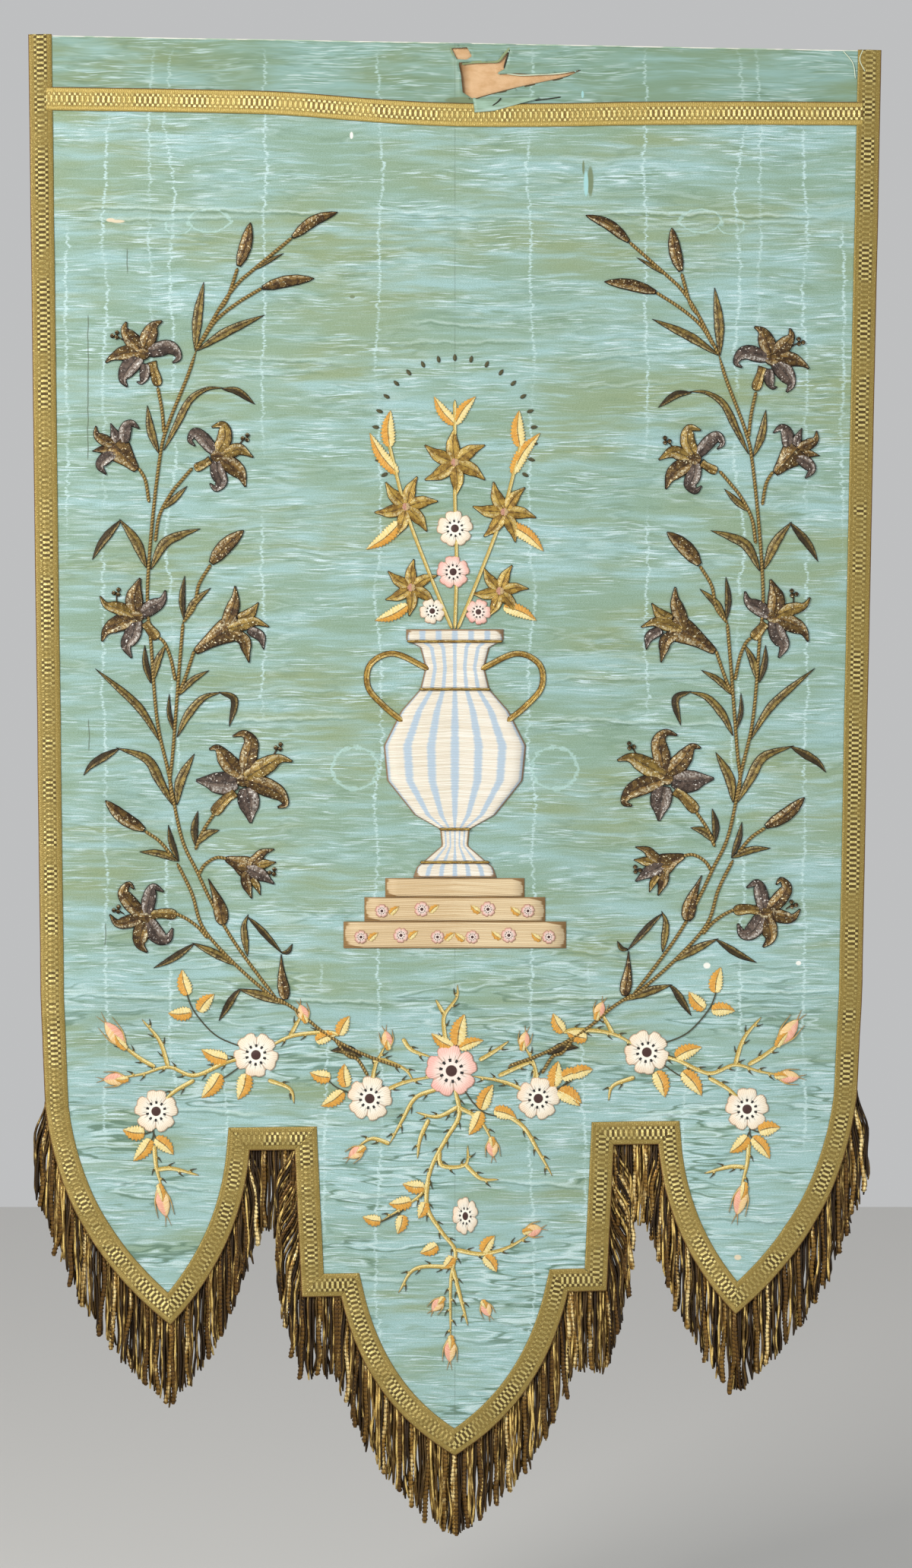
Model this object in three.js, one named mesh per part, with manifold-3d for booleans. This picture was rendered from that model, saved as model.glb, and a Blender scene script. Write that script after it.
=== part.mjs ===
// A church banner hung by its top edge: watered silk with padded lilies, a lily pot and roses,
// metal braid and a bullion fringe. Millimetres; X to the right, Z up, the face towards -Y,
// and the origin at the middle of the top edge.
import * as THREE from "three";
import { mergeVertices } from "three/addons/utils/BufferGeometryUtils.js";
import Module from "manifold-3d";

const wasm = await Module();
wasm.setup();

// Driving sizes of the cloth
const HALF_TOP = 491;
const WAIST = { x: 472.5, z: -1090 };
const FRINGE_START = { x: 467, z: -1221 };
const LOBE_TIP = { x: 324.6, z: -1470 };
const NOTCH = { outerX: 235, innerX: 184, z: -1273 };
const PANEL_FOOT = { outerX: 176, innerX: 131, z: -1442 };
const CENTRE_TIP_Z = -1629;
const BRAID_WIDTH = 27;
const EDGE_INSET = 1.6;
const CURVE_STEPS = 9;

// Depths in front of the middle of the cloth, back and front of each layer
const CLOTH = { back: -1.5, front: 1.5 };
const HEADING_FRONT = { back: 0.5, front: 1.5 };
const HEADING_BACK = { back: -2.1, front: -1.1 };
const CANVAS = { back: -0.8, front: 0.2 };
const BRAID = { back: 1.8, front: 3.0 };
const LOOSE_SILK = { back: 3.3, front: 4.3 };
const RELIEF = { back: 1.8, edge: 2.6, spine: 4.2 };
const FRINGE_STRIP = { back: -5.2, front: -1.8 };
const GAP = 0.3;

// Heights of the heading, measured down from the top edge
const HEADING_FOLD = 1.2;
const CROSS_BRAID = [
  // x, height of the braid's middle
  [-491, -64.5],
  [-330, -67],
  [-200, -69.5],
  [-90, -79],
  [0, -84],
  [110, -84],
  [200, -82],
  [320, -81.5],
  [491, -82.5],
];

// Fringe
const STRAND = { pitch: 5.6, radius: 1.6, length: 92, spread: 6 };
const STRIP_WIDTH = { from: 3, to: 13 };

// Level creases across the cloth: height, how far it stands forward, reach above and below
const CREASES = [
  [-205, 2.2, 70],
  [-782, -2.4, 90],
  [-1100, 2.8, 70],
  [-1230, -2.2, 55],
  [-1330, 2.6, 60],
];
// Soft upright flutes: width of a wave, depth at the foot, place of a crest
const FLUTES = [
  [430, 3.4, -40],
  [265, 1.8, 95],
];
const FLUTE_FULL_AT = -1200;
// How far each free part of the hem curls forward at its foot
const CURL = { from: -1273, length: 200, left: 9, centre: -4, right: 6 };

// The whole cloth hangs a little out of square
const SKEW = { top: -9, foot: 18.8, over: 1470, pull: 4, at: 1090 };

const hang = (x, z) => {
  const across = x / HALF_TOP;
  const down = -z;
  return new THREE.Vector2(
    x - ((SKEW.pull * down) / SKEW.at) * across * across,
    z + across * (SKEW.top + (SKEW.foot * down) / SKEW.over),
  );
};

// How far the cloth stands forward of the plane of its top edge
function forward(x, z) {
  const grow = THREE.MathUtils.smoothstep(-z, 0, -FLUTE_FULL_AT);
  let out = 0;
  for (const [wave, depth, crest] of FLUTES)
    out += depth * grow * Math.cos((2 * Math.PI * (x - crest)) / wave);
  for (const [level, depth, reach] of CREASES)
    out += depth * Math.max(0, 1 - Math.abs(z - level) / reach);
  const free = Math.max(0, (CURL.from - z) / CURL.length);
  const lobe = x < 0 ? CURL.left : CURL.right;
  const between = (NOTCH.outerX + NOTCH.innerX) / 2;
  return out + (Math.abs(x) > between ? lobe : CURL.centre) * free ** 1.5;
}

// The cloth is laid out in flat facets between upright and level lines
const GRID = { halfWidth: 560, top: 30, foot: -1760, across: 140, down: 160, least: 22 };

function stops(fixed, pitch, least) {
  const sorted = [...fixed].sort((a, b) => a - b);
  const kept = sorted.filter((v, i) => i === 0 || v - sorted[i - 1] >= least);
  const lines = [kept[0]];
  for (const next of kept.slice(1)) {
    const last = lines.at(-1);
    const steps = Math.ceil((next - last) / pitch);
    for (let k = 1; k <= steps; k++) lines.push(last + ((next - last) * k) / steps);
  }
  return lines;
}

const columns = stops([-GRID.halfWidth, GRID.halfWidth], GRID.across, GRID.least);
const creaseLines = CREASES.flatMap(([level, , reach]) => [level - reach, level, level + reach]);
const rows = stops([GRID.foot, ...creaseLines, GRID.top], GRID.down, GRID.least);
const nodeForward = rows.map((z) => columns.map((x) => forward(x, z)));

const cellOf = (lines, v) => {
  const at = lines.findIndex((line) => line > v) - 1;
  return THREE.MathUtils.clamp(at < 0 ? lines.length - 2 : at, 0, lines.length - 2);
};

// Y of the middle of the cloth on its facets
function clothY(x, z) {
  const i = cellOf(columns, x);
  const j = cellOf(rows, z);
  const u = (x - columns[i]) / (columns[i + 1] - columns[i]);
  const v = (z - rows[j]) / (rows[j + 1] - rows[j]);
  const [low, high] = [nodeForward[j], nodeForward[j + 1]];
  if (u + v <= 1) return -(low[i] + (low[i + 1] - low[i]) * u + (high[i] - low[i]) * v);
  return -(
    high[i + 1] +
    (high[i] - high[i + 1]) * (1 - u) +
    (low[i + 1] - high[i + 1]) * (1 - v)
  );
}

function solidFrom(geometry) {
  geometry.deleteAttribute("normal");
  geometry.deleteAttribute("uv");
  const merged = mergeVertices(geometry, 1e-4);
  return new wasm.Manifold(
    new wasm.Mesh({
      numProp: 3,
      vertProperties: merged.attributes.position.array,
      triVerts: new Uint32Array(merged.index.array),
    }),
  );
}

function solidFromLists(points, faces) {
  const geometry = new THREE.BufferGeometry();
  geometry.setAttribute("position", new THREE.Float32BufferAttribute(points.flat(), 3));
  geometry.setIndex(faces.flat());
  return solidFrom(geometry);
}

// A faceted slab that follows the folds, between two depths in front of the cloth's middle
function layer(back, front) {
  const points = [];
  for (const depth of [back, front])
    rows.forEach((z, j) =>
      columns.forEach((x, i) => points.push([x, -nodeForward[j][i] - depth, z])),
    );
  const wide = columns.length;
  const side = wide * rows.length;
  const at = (i, j, face) => face * side + j * wide + i;
  const faces = [];
  for (let j = 0; j < rows.length - 1; j++)
    for (let i = 0; i < wide - 1; i++) {
      faces.push([at(i, j, 1), at(i + 1, j, 1), at(i, j + 1, 1)]);
      faces.push([at(i + 1, j, 1), at(i + 1, j + 1, 1), at(i, j + 1, 1)]);
      faces.push([at(i, j, 0), at(i, j + 1, 0), at(i + 1, j, 0)]);
      faces.push([at(i + 1, j, 0), at(i, j + 1, 0), at(i + 1, j + 1, 0)]);
    }
  const rim = [];
  for (let i = 0; i < wide - 1; i++) rim.push([i, 0]);
  for (let j = 0; j < rows.length - 1; j++) rim.push([wide - 1, j]);
  for (let i = wide - 1; i > 0; i--) rim.push([i, rows.length - 1]);
  for (let j = rows.length - 1; j > 0; j--) rim.push([0, j]);
  rim.forEach(([i, j], k) => {
    const [m, n] = rim[(k + 1) % rim.length];
    faces.push([at(i, j, 0), at(m, n, 0), at(m, n, 1)]);
    faces.push([at(i, j, 0), at(m, n, 1), at(i, j, 1)]);
  });
  return solidFromLists(points, faces);
}

// A straight-sided cutter with the given outline, across the whole depth
const CUTTER_DEPTH = 120;
function cutter(outline) {
  const shape = new THREE.Shape(outline.map(([x, z]) => new THREE.Vector2(x, z)));
  const geometry = new THREE.ExtrudeGeometry(shape, { depth: CUTTER_DEPTH, bevelEnabled: false });
  geometry.rotateX(Math.PI / 2);
  geometry.translate(0, CUTTER_DEPTH / 2, 0);
  return solidFrom(geometry);
}

const unite = (solids) => solids.reduce((whole, next) => whole.add(next));

// The cloth's outline from the top right corner round the hem to the top left corner
function rightHem() {
  const path = new THREE.Path();
  path.moveTo(WAIST.x, WAIST.z);
  path.lineTo(FRINGE_START.x, FRINGE_START.z);
  path.quadraticCurveTo(448, -1370, LOBE_TIP.x, LOBE_TIP.z);
  path.quadraticCurveTo(244, -1386, NOTCH.outerX, NOTCH.z);
  path.lineTo(NOTCH.innerX, NOTCH.z);
  path.lineTo(PANEL_FOOT.outerX, PANEL_FOOT.z);
  path.lineTo(PANEL_FOOT.innerX, PANEL_FOOT.z);
  path.quadraticCurveTo(102.5, -1568, 0, CENTRE_TIP_Z);
  return path.getPoints(CURVE_STEPS).map((p) => [p.x, p.y]);
}

const hemRight = rightHem();
const hemLeft = hemRight.slice(0, -1).map(([x, z]) => [-x, z]).reverse();
const flatOutline = [[HALF_TOP, 0], ...hemRight, ...hemLeft, [-HALF_TOP, 0]];
const outline = flatOutline.map(([x, z]) => hang(x, z).toArray());

function distanceTo(path, [x, z]) {
  const point = new THREE.Vector3(x, z, 0);
  const nearest = new THREE.Vector3();
  const gaps = path.slice(1).map(([bx, bz], k) => {
    const line = new THREE.Line3(
      new THREE.Vector3(path[k][0], path[k][1], 0),
      new THREE.Vector3(bx, bz, 0),
    );
    return line.closestPointToPoint(point, true, nearest).distanceTo(point);
  });
  return Math.min(...gaps);
}

// A path moved to its right by a width, with mitred corners and no loops inside sharp ones
function inset(points, width, closed) {
  const last = points.length - 1;
  const moved = points.map((point, k) => {
    const before = closed ? points[(k + last) % (last + 1)] : points[Math.max(0, k - 1)];
    const after = closed ? points[(k + 1) % (last + 1)] : points[Math.min(last, k + 1)];
    const a = new THREE.Vector2(point[0] - before[0], point[1] - before[1]).normalize();
    const b = new THREE.Vector2(after[0] - point[0], after[1] - point[1]).normalize();
    const first = a.lengthSq() ? new THREE.Vector2(a.y, -a.x) : new THREE.Vector2(b.y, -b.x);
    const second = b.lengthSq() ? new THREE.Vector2(b.y, -b.x) : first;
    const middle = first.clone().add(second).normalize();
    const reach = width / Math.max(0.35, middle.dot(first));
    return [point[0] + middle.x * reach, point[1] + middle.y * reach];
  });
  const path = closed ? [...points, points[0]] : points;
  return moved.filter((point) => distanceTo(path, point) > Math.abs(width) - 0.2);
}

const crossLine = new THREE.SplineCurve(CROSS_BRAID.map(([x, z]) => new THREE.Vector2(x, z)))
  .getPoints(24)
  .map((p) => p.toArray());
const shifted = (points, rise) => points.map(([x, z]) => [x, z + rise]);

const materials = {
  silk: new THREE.MeshStandardMaterial({ color: 0x93b4a6, roughness: 0.45, metalness: 0 }),
  canvas: new THREE.MeshStandardMaterial({ color: 0xe0b88c, roughness: 0.9, metalness: 0 }),
  braid: new THREE.MeshStandardMaterial({ color: 0xc9a24a, roughness: 0.4, metalness: 0.7 }),
  bullion: new THREE.MeshStandardMaterial({ color: 0x8a6a2e, roughness: 0.5, metalness: 0.6 }),
  lily: new THREE.MeshStandardMaterial({ color: 0x6b5230, roughness: 0.45, metalness: 0.6 }),
  floss: new THREE.MeshStandardMaterial({ color: 0xe9d8c4, roughness: 0.55, metalness: 0 }),
};

const banner = new THREE.Group();

function addPiece(name, solid, material) {
  const made = solid.getMesh();
  const geometry = new THREE.BufferGeometry();
  geometry.setAttribute("position", new THREE.BufferAttribute(made.vertProperties, 3));
  geometry.setIndex(new THREE.BufferAttribute(made.triVerts, 1));
  const mesh = new THREE.Mesh(geometry, material);
  mesh.name = name;
  banner.add(mesh);
}

// Silk field, from under the cross braid to the dagged hem
const raised = [[HALF_TOP, EDGE_INSET], ...hemRight, ...hemLeft, [-HALF_TOP, EDGE_INSET]];
const clothEdge = inset(raised.map(([x, z]) => hang(x, z).toArray()), EDGE_INSET, true);
const wholeCloth = cutter(clothEdge);
const WIDE = 600;
const below = (points, z) => cutter([[-WIDE, z], ...points, [WIDE, z]]);
const underHeading = below(crossLine, -2000);
const clothSlab = layer(CLOTH.back, CLOTH.front);
addPiece("silk_field", clothSlab.intersect(wholeCloth).intersect(underHeading), materials.silk);

// Heading: silk folded over the top round a canvas, torn open beside the middle
const aboveBraid = cutter([...shifted(crossLine, GAP), [WIDE, 60], [-WIDE, 60]]);
const heading = wholeCloth.intersect(aboveBraid);
const foldBand = cutter([
  [-WIDE, hang(-WIDE, -HEADING_FOLD).y],
  [WIDE, hang(WIDE, -HEADING_FOLD).y],
  [WIDE, 60],
  [-WIDE, 60],
]);

// Outlines of the two holes torn in the heading and of the slit that runs up from them
const UPPER_HOLE = [[-4, -7], [14, -6], [20, -16], [13, -21], [2, -20]];
const MAIN_HOLE = [[4, -24], [52, -21], [56, -14], [64, -7], [60, -22], [57, -31], [46, -37],
  [92, -38], [132, -39], [112, -44], [78, -51], [50, -58], [22, -66], [9, -58], [7, -38]];
const FLAP = [[21, -66.5], [23, -81], [45, -78.5], [70, -73], [96, -66.8]];
const FLAP_RISE = [[24, -64.5], [24, -69], [94, -67.2], [94, -63.2]];

const holes = cutter(UPPER_HOLE.toReversed()).add(cutter(MAIN_HOLE.toReversed()));
const frontLeaf = layer(HEADING_FRONT.back, HEADING_FRONT.front).intersect(heading).subtract(holes);
const backLeaf = layer(HEADING_BACK.back, HEADING_BACK.front).intersect(heading);
const fold = layer(HEADING_BACK.back, HEADING_FRONT.front).intersect(wholeCloth).intersect(foldBand);
const flap = layer(LOOSE_SILK.back, LOOSE_SILK.front).intersect(cutter(FLAP.toReversed()));
const flapRise = layer(HEADING_FRONT.back, LOOSE_SILK.front).intersect(cutter(FLAP_RISE.toReversed()));
addPiece("heading_silk", unite([frontLeaf, backLeaf, fold, flapRise, flap]), materials.silk);

const canvasTop = -HEADING_FOLD - GAP;
const underFold = cutter([
  [-WIDE, -2000],
  [WIDE, -2000],
  [WIDE, hang(WIDE, canvasTop).y],
  [-WIDE, hang(-WIDE, canvasTop).y],
]);
const canvas = layer(CANVAS.back, CANVAS.front).intersect(heading).intersect(underFold);
addPiece("heading_canvas", canvas, materials.canvas);

// Braid: one length round the sides and hem, one across under the heading
const BRAID_SLAB = layer(BRAID.back, BRAID.front);
const edgeBand = [...outline, ...inset(outline, BRAID_WIDTH, false).reverse()];
addPiece("edge_braid", BRAID_SLAB.intersect(cutter(edgeBand)), materials.braid);

const insideEdge = cutter(inset(outline, BRAID_WIDTH + GAP, true));
const crossBand = [
  ...shifted(crossLine, -BRAID_WIDTH / 2),
  ...shifted(crossLine, BRAID_WIDTH / 2).reverse(),
];
const crossSolid = BRAID_SLAB.intersect(cutter(crossBand)).intersect(insideEdge);
addPiece("cross_braid", crossSolid, materials.braid);

// Bullion fringe: five lengths, each a strip behind the hem with its strands hanging from it
const hemEdge = outline.slice(1, -1);
const STRAND_SIDES = 3;

// A strand through the given points, closed at both ends
function strand(points, radius, turn) {
  const list = [];
  for (const [x, y, z] of points)
    for (let k = 0; k < STRAND_SIDES; k++) {
      const angle = turn + (2 * Math.PI * k) / STRAND_SIDES;
      list.push([x + radius * Math.cos(angle), y + radius * Math.sin(angle), z]);
    }
  const faces = [];
  for (let ring = 0; ring < points.length - 1; ring++)
    for (let k = 0; k < STRAND_SIDES; k++) {
      const next = (k + 1) % STRAND_SIDES;
      const [top, low] = [ring * STRAND_SIDES, (ring + 1) * STRAND_SIDES];
      faces.push([low + k, low + next, top + next]);
      faces.push([low + k, top + next, top + k]);
    }
  const foot = (points.length - 1) * STRAND_SIDES;
  faces.push([0, 1, 2]);
  faces.push([foot, foot + 2, foot + 1]);
  return solidFromLists(list, faces);
}

// The height of the hem at a given x, and the direction into the cloth there
function hemAt(x) {
  const k = hemEdge.findIndex(([ax], i) => ax >= x && (hemEdge[i + 1] ?? [x])[0] < x);
  const [a, b] = [hemEdge[k], hemEdge[k + 1]];
  const along = new THREE.Vector2(b[0] - a[0], b[1] - a[1]);
  const z = a[1] + (along.y * (a[0] - x)) / (a[0] - b[0]);
  along.normalize();
  return { z, inX: along.y, inZ: -along.x };
}

const ROOT = { inwards: 7, above: 4, below: 3 };
const stripMiddle = (FRINGE_STRIP.back + FRINGE_STRIP.front) / 2;
const strandY = (x, z) => clothY(x, z) - stripMiddle;
const wander = (v) => Math.sin(v / 23) + 0.6 * Math.sin(v / 7.3 + 1);

function hangingStrand(x) {
  const hem = hemAt(x);
  const rootX = x + hem.inX * ROOT.inwards;
  const rootZ = hem.z + hem.inZ * ROOT.inwards + ROOT.above * (1 - hem.inZ);
  const y = strandY(rootX, rootZ);
  const foot = hem.z - STRAND.length - STRAND.spread * wander(x * 3);
  const path = [
    [rootX, y, rootZ],
    [x, y, hem.z - ROOT.below],
    [x + 1.6 * wander(x), y, foot],
  ];
  return strand(path, STRAND.radius, x);
}

// Strands rooted on an upright edge, each hung further out than the one below it
const BULGE = { drop: 8, lean: 0.9 };
function bulgingStrands([topX, topZ], [footX, footZ], side, count) {
  return Array.from({ length: count }, (_, k) => {
    const share = k / (count - 1);
    const root = hang(topX + (footX - topX) * share, topZ + (footZ - topZ) * share);
    const [x, z] = [root.x, root.y];
    const out = side * STRAND.pitch * (count - k);
    const rootX = x - side * ROOT.inwards;
    const y = strandY(rootX, z);
    const path = [
      [rootX, y, z],
      [x + out, y, z - Math.abs(out) * BULGE.lean - BULGE.drop],
      [x + out + side, y, z - STRAND.length - ROOT.above],
    ];
    return strand(path, STRAND.radius, z);
  });
}

const cornerAt = ([x, z]) => flatOutline.findIndex((p) => Math.hypot(p[0] - x, p[1] - z) < 0.01);

// The strip along the hem between two corners, and everything that hangs from it
function fringe(fromCorner, toCorner, extra) {
  const part = outline.slice(cornerAt(fromCorner), cornerAt(toCorner) + 1);
  const near = inset(part, STRIP_WIDTH.from, false);
  const far = inset(part, STRIP_WIDTH.to, false);
  const stripBand = cutter([...near, ...far.reverse()]);
  const strip = layer(FRINGE_STRIP.back, FRINGE_STRIP.front).intersect(stripBand);
  const [startX, endX] = [part[0][0], part.at(-1)[0]];
  const count = Math.floor((startX - endX) / STRAND.pitch - 2);
  const places = Array.from({ length: count }, (_, k) => startX - STRAND.pitch * (k + 1.5));
  const underPanel = (x) => Math.abs(x) < PANEL_FOOT.outerX - ROOT.inwards;
  const hung = places.filter((x) => underPanel(x) || Math.abs(x) > BESIDE_PANEL);
  return unite([strip, ...hung.map(hangingStrand), ...extra]);
}

const BESIDE_PANEL = NOTCH.innerX + STRAND.pitch * 5;
const [lobeTop, notchCorner, panelCorner] = [
  [FRINGE_START.x, FRINGE_START.z],
  [NOTCH.outerX, NOTCH.z],
  [PANEL_FOOT.innerX, PANEL_FOOT.z],
];
const other = ([x, z]) => [-x, z];
const lobeBulge = (side) => bulgingStrands([side * 466, -1228], [side * 459, -1264], side, 4);
const notchBulge = (side) => bulgingStrands([side * 184, -1292], [side * 178, -1400], side, 4);
const fringes = {
  fringe_lobe_right: fringe(lobeTop, notchCorner, lobeBulge(1)),
  fringe_notch_right: fringe(notchCorner, panelCorner, notchBulge(1)),
  fringe_centre: fringe(panelCorner, other(panelCorner), []),
  fringe_notch_left: fringe(other(panelCorner), other(notchCorner), notchBulge(-1)),
  fringe_lobe_left: fringe(other(notchCorner), other(lobeTop), lobeBulge(-1)),
};
for (const [name, solid] of Object.entries(fringes)) addPiece(name, solid, materials.bullion);

// Padded work: each petal or leaf is a low roof, sunk through the cloth and then trimmed
const SUNK = -6;
const onCloth = (x, z, depth) => [x, clothY(x, z) - depth, z];

function roof(rim, crownX, crownZ, spine) {
  const count = rim.length;
  const points = [
    ...rim.map(([x, z]) => onCloth(x, z, RELIEF.edge)),
    ...rim.map(([x, z]) => onCloth(x, z, SUNK)),
    onCloth(crownX, crownZ, spine),
    onCloth(crownX, crownZ, SUNK),
  ];
  const faces = rim.flatMap((_, k) => {
    const next = (k + 1) % count;
    return [
      [2 * count, k, next],
      [2 * count + 1, count + next, count + k],
      [k, count + k, count + next],
      [k, count + next, next],
    ];
  });
  return solidFromLists(points, faces);
}

// A pointed leaf or bud, widest a little before its middle, its root carried back under its stem
const WIDEST = 0.46;
const ROOTED = 3;
function blade(baseX, baseZ, tipX, tipZ, width) {
  const length = Math.hypot(tipX - baseX, tipZ - baseZ);
  const [dx, dz] = [(tipX - baseX) / length, (tipZ - baseZ) / length];
  const at = (along, side) => [baseX + dx * along - dz * side, baseZ + dz * along + dx * side];
  const widest = length * WIDEST;
  const rim = [at(-ROOTED, 0), at(widest, -width / 2), at(length, 0), at(widest, width / 2)];
  return roof(rim, ...at(widest, 0), RELIEF.spine);
}

// An open flower: a star with a tip for each petal and a valley between each two
const VALLEY = 0.42;
const BACK_OF_FLOWER = 7;
function star(x, z, tips) {
  const turns = tips
    .map(([tx, tz]) => ({ angle: Math.atan2(tz - z, tx - x), reach: Math.hypot(tx - x, tz - z) }))
    .sort((a, b) => a.angle - b.angle);
  const rim = turns.flatMap(({ angle, reach }, k) => {
    const next = turns[(k + 1) % turns.length];
    const gap = (next.angle - angle + 2 * Math.PI) % (2 * Math.PI);
    const between = angle + gap / 2;
    const wide = gap > Math.PI * 0.8;
    const low = wide ? BACK_OF_FLOWER : (VALLEY * (reach + next.reach)) / 2;
    return [
      [x + reach * Math.cos(angle), z + reach * Math.sin(angle)],
      [x + low * Math.cos(between), z + low * Math.sin(between)],
    ];
  });
  return roof(rim, x, z, RELIEF.spine);
}

const ROSE_SIDES = 7;
function rosette(x, z, radius, squash = 1) {
  const rim = Array.from({ length: ROSE_SIDES }, (_, k) => {
    const angle = (2 * Math.PI * (k + 0.5)) / ROSE_SIDES;
    return [x + radius * squash * Math.cos(angle), z + radius * Math.sin(angle)];
  });
  return roof(rim, x, z, RELIEF.spine);
}

// A narrow band along a line: full width in its middle, and the given share of it at its ends
function ribbon(line, width, endShare) {
  const last = line.length - 1;
  const half = (k) => (width / 2) * (endShare + (1 - endShare) * Math.sin((Math.PI * k) / last));
  const edge = (side) =>
    line.map((point, k) => {
      const before = line[Math.max(0, k - 1)];
      const after = line[Math.min(last, k + 1)];
      const along = new THREE.Vector2(after[0] - before[0], after[1] - before[1]).normalize();
      return [point[0] + side * along.y * half(k), point[1] - side * along.x * half(k)];
    });
  return cutter([...edge(1), ...edge(-1).reverse()]);
}

const flatRelief = layer(RELIEF.back, RELIEF.edge);
const fullRelief = layer(RELIEF.back, RELIEF.spine + 1);
const applied = (roofs, ribbons) =>
  unite(roofs).intersect(fullRelief).add(unite(ribbons).intersect(flatRelief));

const STEM_WIDTH = 4.2;

// Left lily spray; the right one is its mirror image with a small lean
const LILY_STEMS = [
  [[-187, -225], [-250, -278], [-298, -355], [-339, -475], [-351, -580], [-352, -680],
    [-340, -800], [-315, -915], [-282, -988], [-240, -1055], [-203, -1102]],
  [[-326, -930], [-310, -960], [-300, -1000], [-272, -1040], [-235, -1075], [-193, -1109]],
  [[-313, -666], [-319, -740], [-325, -820], [-328, -850], [-323, -882]],
  [[-249, -258], [-262, -290], [-272, -309]],
  [[-222, -283], [-250, -300], [-275, -320], [-299, -356]],
  [[-281, -600], [-295, -625], [-300, -650], [-313, -670]],
  [[-357, -908], [-340, -920], [-318, -946]],
  [[-342, -397], [-337, -425], [-333, -455]],
  [[-364, -490], [-354, -515], [-346, -545]],
  [[-302, -489], [-327, -520], [-340, -545], [-351, -586]],
  [[-341, -684], [-327, -710], [-320, -742]],
  [[-300, -700], [-310, -730], [-320, -758]],
  [[-277, -886], [-290, -908], [-306, -942]],
  [[-262, -940], [-288, -947], [-298, -962]],
  [[-322, -1003], [-295, -1020], [-275, -1037]],
];
// Curved leaves: width, then the line from base to tip
const LILY_CURVED_LEAVES = [
  [11, [[-298, -355], [-262, -333], [-219, -314]]],
  [10, [[-338, -474], [-320, -440], [-300, -408], [-262, -398], [-230, -417]]],
  [11, [[-353, -607], [-370, -572], [-388, -552], [-405, -573], [-417, -596]]],
  [11, [[-350, -607], [-335, -578], [-315, -567], [-293, -560]]],
  [10, [[-321, -800], [-308, -775], [-290, -755], [-262, -752], [-260, -788]]],
  [10, [[-338, -808], [-372, -757], [-414, -721]]],
  [11, [[-324, -880], [-340, -850], [-360, -822], [-391, -814], [-412, -830], [-427, -844]]],
  [9, [[-240, -1055], [-243, -1022], [-236, -1008], [-220, -1024], [-198, -1050]]],
  [10, [[-255, -1060], [-275, -1047], [-303, -1040], [-325, -1055], [-347, -1066]]],
  [10, [[-195, -1108], [-236, -1092], [-254, -1100], [-272, -1127]]],
];
const LILY_LEAVES = [
  // base x, base z, tip x, tip z, width
  [-298, -356, -289, -276, 12],
  [-340, -473, -354, -418, 10],
  [-339, -542, -308, -511, 9],
  [-312, -666, -281, -628, 10],
  [-348, -740, -357, -694, 10],
  [-347, -736, -332, -692, 9],
  [-319, -754, -283, -723, 9],
  [-322, -880, -300, -819, 12],
  [-319, -943, -363, -932, 10],
  [-297, -925, -271, -907, 10],
];
const LILY_BUDS = [
  // base x, base z, tip x, tip z, width
  [-187, -225, -135, -196, 13],
  [-249, -260, -235, -208, 15],
  [-222, -283, -162, -272, 14],
  [-281, -601, -243, -562, 18],
  [-357, -908, -402, -873, 16],
  [-268, -1017, -284, -963, 15],
  [-194, -1108, -200, -1045, 14],
];
const LILY_FLOWERS = [
  // centre x, centre z, tips
  [-360, -355, [[-378, -322], [-338, -321], [-320, -362], [-402, -367], [-378, -397], [-342, -400]]],
  [-368, -490, [[-413, -442], [-396, -438], [-364, -446], [-416, -470], [-401, -497], [-363, -494]]],
  [-272, -475, [[-275, -438], [-303, -458], [-236, -477], [-242, -512], [-275, -514], [-305, -491]]],
  [-368, -660, [[-363, -617], [-335, -632], [-407, -639], [-407, -688], [-373, -708], [-339, -687]]],
  [-292, -692, [[-253, -627], [-227, -648], [-216, -672], [-221, -697], [-238, -713], [-301, -704]]],
  [-243, -847, [[-282, -813], [-252, -796], [-189, -827], [-298, -850], [-235, -898],
    [-203, -880], [-279, -889]]],
  [-256, -942, [[-211, -928], [-212, -948], [-210, -969], [-235, -985], [-264, -940]]],
  [-357, -1008, [[-376, -971], [-336, -976], [-397, -1006], [-357, -1047], [-328, -1030],
    [-319, -1004]]],
];
const LEAN = { foot: -1108, height: 880, out: 13, power: 5 };

function lilySpray(place) {
  const roofs = [
    ...[...LILY_LEAVES, ...LILY_BUDS].map(([bx, bz, tx, tz, width]) =>
      blade(...place(bx, bz), ...place(tx, tz), width),
    ),
    ...LILY_FLOWERS.map(([x, z, tips]) => star(...place(x, z), tips.map((tip) => place(...tip)))),
  ];
  const put = (line) => line.map(([x, z]) => place(x, z));
  const ribbons = [
    ...LILY_STEMS.map((line) => ribbon(put(line), STEM_WIDTH, 0.8)),
    ...LILY_CURVED_LEAVES.map(([width, line]) => ribbon(put(line), width, 0.25)),
  ];
  return applied(roofs, ribbons);
}

const asLeft = (x, z) => [x, z];
const asRight = (x, z) => [
  -x + LEAN.out * ((z - LEAN.foot) / LEAN.height) ** LEAN.power,
  z + 2 * (hang(-x, z).y - z),
];
addPiece("lily_spray_left", lilySpray(asLeft), materials.lily);
addPiece("lily_spray_right", lilySpray(asRight), materials.lily);

// Lily pot in the middle: stepped plinth, footed vase with two handles, and its flowers
const PLINTH = [
  // half width, foot, top
  [128, -1043, -1012],
  [104, -1012, -984],
  [80, -984, -962],
];
const plinthRight = PLINTH.flatMap(([half, foot, top]) => [[half, foot], [half, top]]);
const mirrored = (points) => points.map(([x, z]) => [-x, z]).reverse();
const plinth = cutter([...plinthRight, ...mirrored(plinthRight)]);
addPiece("plinth", plinth.intersect(flatRelief), materials.floss);

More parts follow.
